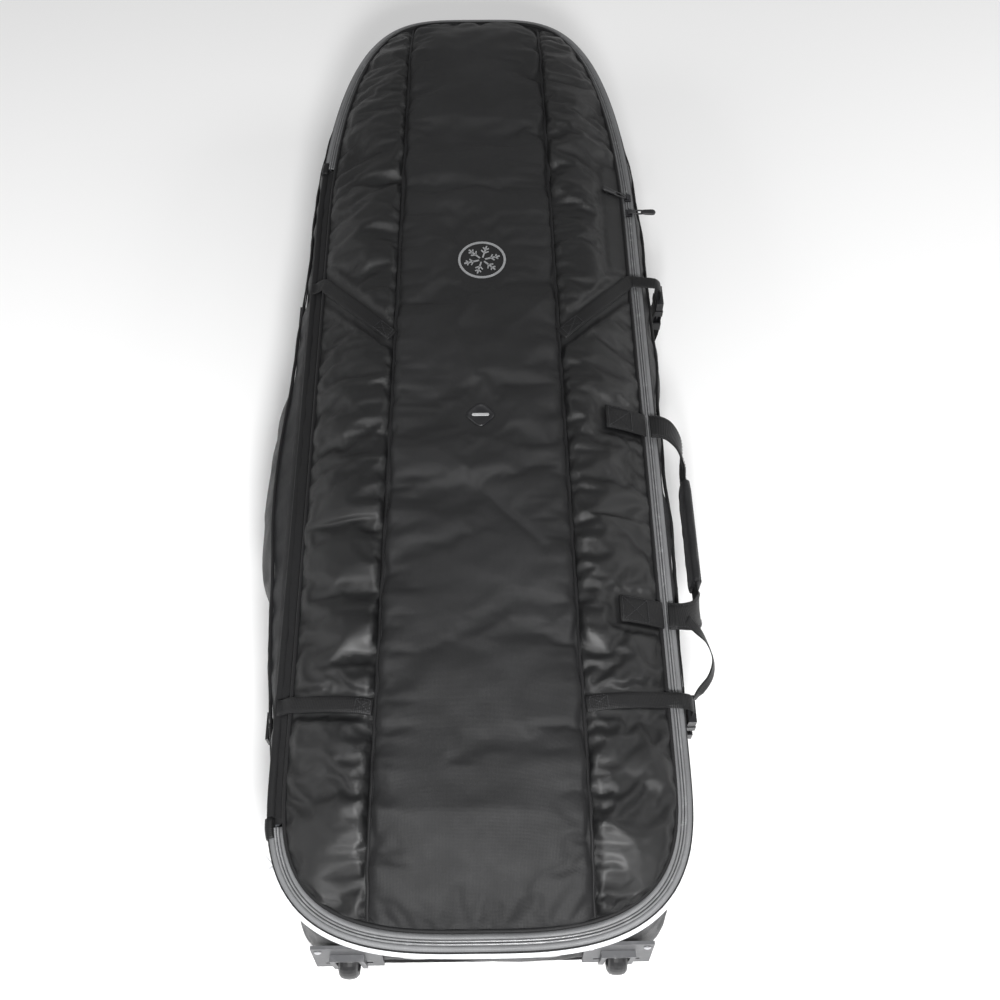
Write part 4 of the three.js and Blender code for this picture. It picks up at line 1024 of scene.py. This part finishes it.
# ---- fittings kept from the frame
for label in ("left", "right"):
    keep_cad("wheel_housing_" + label, "housing_plastic", 0.0009)
    keep_cad("axle_bolt_" + label, "fastener_steel", 0.0003)
    for place in ("inner", "outer"):
        keep_cad(f"housing_screw_{label}_{place}", "fastener_steel", 0.0002)
    keep_cad("stand_foot_" + label, "stand_foot_plastic", 0.0014)
    keep_cad("wheel_tyre_" + label, "wheel_tyre")
    keep_cad("wheel_hub_" + label, "wheel_hub")
keep_cad("foot_stiffener", "lining_fabric", 0.0015)
for place in ("upper", "lower"):
    keep_cad("buckle_female_" + place, "buckle_plastic", 0.0014)
    keep_cad("buckle_male_" + place, "buckle_plastic", 0.0010)
    keep_cad("triglide_left_" + place, "buckle_plastic", 0.0008)
for place in ("foot", "head"):
    keep_cad("zipper_slider_" + place, "slider_metal", 0.0005)


# ---- webbing
def tree_of(obj):
    return BVHTree.FromPolygons([v.co.copy() for v in obj.data.vertices], [p.vertices[:] for p in obj.data.polygons])


TREE = {-1: tree_of(SIDES[-1]), 1: tree_of(SIDES[1]), 0: tree_of(CENTRE)}


def top_of(tree, x, y, spread=0.008, least=0.0):
    """Highest point of a panel within spread of a place, and at least least."""
    best = least
    for dx, dy in ((0, 0), (0, spread), (0, -spread), (spread * 0.5, 0), (-spread * 0.5, 0)):
        hit = tree.ray_cast(Vector((x + dx, y + dy, 0.5)), Vector((0, 0, -1)))
        if hit[0] is not None:
            best = max(best, hit[0].z)
    return best


def middle_x(node):
    low, high = (np.array(c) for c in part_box(node))
    return float(low[0] + high[0]) / 2


def wall_x(v, z, side):
    return abs(float(wall(np.array([side * run_at(v)]), z)[0, 0]))


def lid_strap(side, label, seam_v, edge_v):
    """Compression strap on the lid, from the seam over the rim; on the right it goes down into its buckle."""
    xs, vs = strap_line(seam_v, edge_v, 10)
    points, faces = [], []
    for x, v in zip(xs, vs):
        top = top_of(TREE[side], side * x, y_of(v), least=float(lid_top(x, v)))
        points.append([side * x, y_of(v), top + 0.0012])
        lean = float(lid_top(x - 0.003, v) - lid_top(x + 0.003, v)) / 0.006
        faces.append([side * min(lean, 1), 0, 1])
    points[0][2] -= 0.003  # tucked into the seam
    points[-1][2] = max(points[-1][2], 0.2532)  # clear of the lid's piping
    y = y_of(edge_v)
    if side > 0:
        bx = middle_x("buckle_male_" + label)
        points += [[HALF_WIDTH + 0.004, y, 0.2516], [bx - 0.012, y, 0.2488], [bx - 0.004, y, 0.2438],
                   [bx, y, 0.2356], [bx, y, 0.2218]]
        faces += [[0.05, 0, 1], [0.4, 0, 1], [1, 0, 0.9], [1, 0, 0.1], [1, 0, 0]]
    else:
        points += [[-HALF_WIDTH - 0.001, y, 0.2452], [HINGE_X + 0.002, y, 0.2436]]
        faces += [[-0.2, 0, 1], [-0.1, 0, 1]]
    end = SIDE_NAME[side] + "_" + label
    strap("lid_webbing_" + end, points, faces, STRAP, STRAP_THICK, "lid", replaces=("strap_lid_" + end,),
          cup=0.0004, sewn=[(f"lid_webbing_{end}_stitch", (0.03, 0.16))])


def wall_strap(side, label, edge_v):
    """Compression strap down the wall; on the right a spare tail hangs from its buckle."""
    end = SIDE_NAME[side] + "_" + label
    y = y_of(edge_v)
    if side > 0:
        bx = middle_x("buckle_female_" + label)
        points = [[bx, y, z] for z in (0.203, 0.18, 0.162)]
        faces = [[1, 0, 0]] * 3
        heights = (0.145, 0.125, 0.105, 0.085, 0.065, 0.045, 0.024)
    else:
        points, faces = [], []
        heights = (0.232, 0.222, 0.205, 0.185, 0.165, 0.145, 0.125, 0.105, 0.085, 0.065, 0.040)
    for z in heights:
        x = max(wall_x(edge_v + d, z, side) for d in (-0.012, 0, 0.012)) + 0.0026 + (0.0022 if z > 0.225 else 0)
        if side > 0 and z > 0.11:
            x = bx + (x - bx) * (0.162 - z) / 0.06
        points.append([side * x, y, z])
        faces.append([side, 0, 0.02])
    strap("wall_webbing_" + end, points, faces, STRAP, STRAP_THICK, "base", replaces=("strap_base_" + end,),
          cup=0.0003, sewn=[(f"wall_webbing_{end}_stitch", (0.87, 0.985))])
    if side > 0:
        tail = [[bx + 0.0030, y, 0.1665], [bx + 0.0062, y, 0.160], [bx + 0.0058, y + 0.001, 0.140],
                [bx + 0.0035, y + 0.003, 0.118], [bx + 0.0048, y + 0.005, 0.100]]
        strap("strap_tail_" + label, tail, [[1, 0, 0.3], [1, 0, 0], [1, 0.05, 0], [1, 0.1, -0.1], [1, 0.1, 0.2]],
              STRAP, STRAP_THICK, "buckle_female_" + label)


for label, seam_v, edge_v in STRAPS:
    for side in (-1, 1):
        lid_strap(side, label, seam_v, edge_v)
        wall_strap(side, label, edge_v)

# ---- side handle
HANDLE_MID, HANDLE_HALF = (TABS[1] + TABS[0]) / 2, 0.14
HANDLE_Z = float(lid_top(HALF_WIDTH - 0.008, TABS[1])) + 0.003
GRIP_X, GRIP_Z = HALF_WIDTH + 0.047, TUB - 0.042


def handle():
    """Side carry handle: wide webbing, a padded sleeve with a closing flap, and the ends sewn to the lid."""
    wide, thick = 0.036, 0.0024
    hx = HALF_WIDTH - 0.004
    arm = [(hx + 0.004, 0, 0, (0, 1)), (hx + 0.016, 0, -0.0005, (0.1, 1)), (hx + 0.031, 0.003, -0.008, (0.6, 0.9)),
           (GRIP_X - 0.006, 0.014, -0.024, (1, 0.5))]
    rows = [(x, HANDLE_HALF - d, HANDLE_Z + z, f) for x, d, z, f in arm]
    rows += [(GRIP_X, HANDLE_HALF - 0.036, GRIP_Z + 0.009, (1, 0)),
             (GRIP_X, HANDLE_HALF - 0.058, GRIP_Z, (1, 0))]
    rows += [(x, -d, z, f) for x, d, z, f in reversed(rows)]
    points = [[x, y_of(HANDLE_MID + d), z] for x, d, z, f in rows]
    faces = [[f[0], 0, f[1]] for *_, f in rows]
    strap("handle_webbing", points, faces, wide, thick, "side_handle", replaces=("side_handle_webbing",), cup=0.0005)
    edge_stitches("handle_edge_stitch_", points, faces, 0.0145, "side_handle")
    y0 = y_of(HANDLE_MID) - 0.075
    a = turn(28)
    P = np.zeros((46, len(a), 3))
    for i, t in enumerate(np.linspace(0, 1, len(P))):
        end = 1 - 0.16 * abs(2 * t - 1) ** 8
        rough = np.array([noise.noise(Vector((math.cos(q) * 1.6, math.sin(q) * 1.6, t * 9))) for q in a]) * 0.0009
        P[i, :, 0] = GRIP_X + (0.0072 * end + rough) * squared(np.cos(a), 0.75)
        P[i, :, 2] = GRIP_Z + (0.0212 * (0.94 + 0.06 * end) + rough) * squared(np.sin(a), 0.6)
        P[i, :, 1] = y0 + 0.15 * t
    skin("grip_wrap", P, "grip_wrap", "side_handle", replaces=("side_handle_grip",))
    flap = [[GRIP_X + 0.0078, y0 + 0.004, GRIP_Z - 0.006], [GRIP_X + 0.0080, y0 + 0.075, GRIP_Z - 0.0065],
            [GRIP_X + 0.0078, y0 + 0.146, GRIP_Z - 0.006]]
    strap("grip_flap", flap, [[1, 0, 0]] * 3, 0.024, 0.0012, "side_handle", slot="grip_wrap", per=12)
    row = [[GRIP_X + 0.0082, y0 + 0.15 * t, GRIP_Z + 0.0035] for t in np.linspace(0.03, 0.97, 9)]
    stitches("grip_flap_stitch", row, [[1, 0, 0]] * 9, "side_handle")
    for tab, place in ((TABS[1], "head"), (TABS[0], "foot")):
        points, faces = [], []
        for x in np.linspace(HALF_WIDTH - 0.062, hx - 0.003, 7):
            low = float(lid_top(min(x, HALF_WIDTH - RIM - 0.001), tab))  # past the panel the rim is level
            top = top_of(TREE[1], x, y_of(tab), 0.016, low) if x < HALF_WIDTH - RIM - 0.002 else low
            points.append([x, y_of(tab), max(top + 0.0016, 0.2528 if x > 0.215 else 0)])
            faces.append([0.25, 0, 1])
        strap("handle_tab_" + place, points, faces, wide, thick, "lid", replaces=("side_handle_tab_" + place,),
              sewn=[("handle_tab_stitch_" + place, (0.06, 0.62))])


def loose_tail():
    """Spare end of the lower lid strap, looping out beside the handle."""
    rows = [(0.2580, 0.276, 0.2235), (0.2660, 0.284, 0.2330), (0.2790, 0.300, 0.2390), (0.2850, 0.322, 0.2360),
            (0.2800, 0.346, 0.2340), (0.2680, 0.362, 0.2400), (0.2560, 0.371, 0.2475)]
    strap("strap_spare_loop", [[x, y_of(v), z] for x, v, z in rows],
          [[0.9, -0.5, 0.4], [0.8, -0.3, 0.6], [0.9, -0.2, 0.4], [1, 0, 0.3], [0.9, 0.3, 0.4], [0.5, 0.2, 0.9],
           [0.2, 0, 1]], 0.016, 0.0014, "lid")


def end_handle():
    """Handle on the head wall, on two anchors."""
    arm = [(0.095, 0.019), (0.070, 0.020), (0.048, 0.028), (0.022, 0.034)]
    rows = arm + [(0, 0.035)] + [(-x, d) for x, d in reversed(arm)]
    points = [[x, y_of(LENGTH) + d, 0.150 - (d - 0.019) * 1.5] for x, d in rows]
    faces = [[0, 1, 0.3]] * len(points)
    strap("end_handle", points, faces, 0.032, 0.0024, "head_handle", replaces=("head_handle_webbing",), cup=0.0006)
    edge_stitches("end_handle_stitch_", points, faces, 0.013, "head_handle")
    for side, label in SIDE_NAME.items():
        line = [[side * x, y_of(v), 0.150] for x, v in ((0.128, 1.4915), (0.116, 1.500), (0.104, 1.5135),
                                                        (0.0975, 1.5185))]
        strap("end_handle_anchor_" + label, line, [[side * 0.3, 1, 0.1]] * 4, 0.032, 0.0022, "base")


def tie_straps():
    """Two straps across the floor of the compartment."""
    half, wide, thick = HALF_WIDTH - 0.038, 0.036, 0.0018
    faces = [[0, 0, 1]] * 13
    for place, v in (("foot", 0.400), ("head", 1.010)):
        points = [[x, y_of(v), 0.0149 + 0.0009 * math.sin(x * 74)] for x in np.linspace(-half, half, len(faces))]
        strap("tie_strap_" + place, points, faces, wide, thick, "base", replaces=("inner_tie_strap_" + place,),
              sewn=[(f"tie_stitch_{place}_left", (0.01, 0.10)), (f"tie_stitch_{place}_right", (0.90, 0.99))])


handle()
loose_tail()
end_handle()
tie_straps()


# ---- emblem and patch
def raised(name, strips, lift, replaces=()):
    """Flat raised print: each strip is a list of (left, right) point pairs laid on the centre panel."""
    high = 0.0011
    verts, faces = [], []
    for strip in strips:
        base = len(verts)
        for pair in strip:
            for x, y in pair:
                z = top_of(TREE[0], x, y, 0.0005, 0.2) + lift
                verts += [(x, y, z), (x, y, z + high)]
        closed = np.allclose(strip[0], strip[-1])
        for i in range(len(strip) - 1):
            a, b = base + 4 * i, base + 4 * (i + 1)
            faces += [(a + 1, b + 1, b + 3, a + 3), (a, a + 2, b + 2, b), (a, b, b + 1, a + 1),
                      (a + 2, a + 3, b + 3, b + 2)]
        if not closed:
            b = base + 4 * (len(strip) - 1)
            faces += [(base, base + 1, base + 3, base + 2), (b, b + 2, b + 3, b + 1)]
    mesh = bpy.data.meshes.new(name)
    mesh.from_pydata(verts, [], faces)
    fix_normals(mesh, weld=True)
    finish_mesh(name, mesh, "emblem", "lid", smooth=False, replaces=replaces)


def bar(cx, cy, angle, r0, r1, half):
    """Straight strip from radius r0 to r1 of a centre."""
    dx, dy = math.cos(angle), math.sin(angle)
    return [((cx + dx * r - dy * half, cy + dy * r + dx * half), (cx + dx * r + dy * half, cy + dy * r - dx * half))
            for r in np.linspace(r0, r1, 5)]


def emblem():
    """Ring with a six-armed snow crystal in it."""
    cx, cy = EMBLEM[0], y_of(EMBLEM[1])
    ring = [tuple((cx + r * math.cos(a), cy + r * math.sin(a)) for r in (0.0312, 0.0345))
            for a in np.linspace(0, 2 * math.pi, 73)]
    raised("emblem_ring", [ring], 0.0002, replaces=("emblem_patch",))
    strips = []
    for k in range(6):
        a = math.radians(15 + 60 * k)
        strips.append(bar(cx, cy, a, 0.0045, 0.0265, 0.0011))
        for r, long in ((0.0130, 0.0070), (0.0195, 0.0055)):
            for lean in (-1, 1):
                bx, by = cx + r * math.cos(a), cy + r * math.sin(a)
                strips.append(bar(bx, by, a + lean * math.radians(52), 0.0004, long, 0.0009))
    raised("emblem_crystal", strips, 0.0003)


def patch():
    """Rubber patch with a rolled edge and one pale bar."""
    cx, cy = PATCH[0], y_of(PATCH[1])
    base = top_of(TREE[0], cx, cy, 0.012, 0.2) - 0.0004
    a = np.linspace(0, 2 * math.pi, 49)[:-1]
    shape = 0.0165 + 0.0014 * np.cos(4 * a)
    rows = [(1.0, 0.0), (1.02, 0.0012), (0.97, 0.0024), (0.88, 0.0026), (0.82, 0.0015), (0.40, 0.0014),
            (0.02, 0.0014)]
    P = np.array([[[cx + shape[j] * k * math.cos(a[j]), cy + shape[j] * k * math.sin(a[j]), base + h]
                   for j in range(48)] for k, h in rows])
    skin("patch_rubber", P, "rubber_patch", "lid", replaces=("label_patch",))
    plan = ((-0.0105, -1), (0.0105, -1), (0.0115, 0), (0.0105, 1), (-0.0105, 1), (-0.0115, 0))
    rows = [(1, 1, 0.0012), (1, 1, 0.0021), (0.94, 0.8, 0.0025)]
    P = np.array([[[cx + x * long, cy + y * 0.0021 * wide, base + h] for x, y in plan] for long, wide, h in rows])
    skin("patch_bar", P, "pale_bar", "lid", smooth=False)


emblem()
patch()


# ---- zipper pulls and ends
def pull(label, v, side, rise, body):
    """Cord loop through the slider's eye with a ribbed moulded tab on it."""
    y, z, x0 = y_of(v), 0.2479, HALF_WIDTH + side * 0.0046
    at = lambda d, across: [x0 + side * d, y + across, z + rise * d / 0.036]
    line = ((-0.0040, 0.0), (0.0010, 0.0022), (0.008, 0.0034), (0.0155, 0.0030), (0.0180, 0.0), (0.0155, -0.0030),
            (0.008, -0.0034), (0.0010, -0.0022), (-0.0038, -0.0004))
    tube("pull_cord_" + label, [at(*p) for p in line], 0.0013, body, "pull_tab")
    a = turn(16)
    P = np.zeros((30, len(a), 3))
    for i, t in enumerate(np.linspace(0, 1, len(P))):
        d = 0.0135 + 0.0225 * t
        round_end = math.sqrt(max(0.05, 1 - abs(2 * t - 1) ** 5))
        rib = 1 + 0.09 * math.cos(t * math.pi * 12) * (0.2 < t < 0.85)
        px, py, pz = at(d, 0.0)
        P[i, :, 0] = px
        P[i, :, 1] = py + (0.0042 + 0.0014 * t) * round_end * squared(np.cos(a), 0.7)
        P[i, :, 2] = pz + 0.0024 * round_end * rib * squared(np.sin(a), 0.7)
    skin("pull_tab_" + label, P, "pull_tab", body, replaces=("zipper_pull_" + label,))


pull("foot", 1.050, 1, -0.001, "pull_foot")
pull("head", 1.081, -1, 0.021, "pull_head")


def zip_ends():
    """Folded fabric stops sewn over the two ends of the zipper, and the loose end of the piping."""
    prof = np.array([(0.0015, 0.2402), (0.0045, 0.2437), (0.0100, 0.2430), (0.0125, 0.2400), (0.0128, 0.2330),
                     (0.0112, 0.2326), (0.0108, 0.2385), (0.0060, 0.2403)])
    puff = 0.0007 * np.sin(np.linspace(0, math.pi, 9))[:, None]
    for label, v in (("foot", ZIP_END_FOOT), ("head", ZIP_END_HEAD)):
        s = np.linspace(-run_at(v) - 0.011, -run_at(v) + 0.011, 9)
        skin("zip_stop_" + label, along_rim(s, prof[:, 0] + puff, prof[:, 1] + puff), "webbing", "base")
    line = ((0.006, 0.0122, 0.2358), (-0.001, 0.0126, 0.2362), (-0.006, 0.0142, 0.2374), (-0.011, 0.0172, 0.2386))
    points = [along_rim(np.array([PIPING[0] + ds]), out, np.full((1, 1), z))[0, 0] for ds, out, z in line]
    tube("piping_loose_end", points, 0.0025, "base", "reflective_piping")


zip_ends()
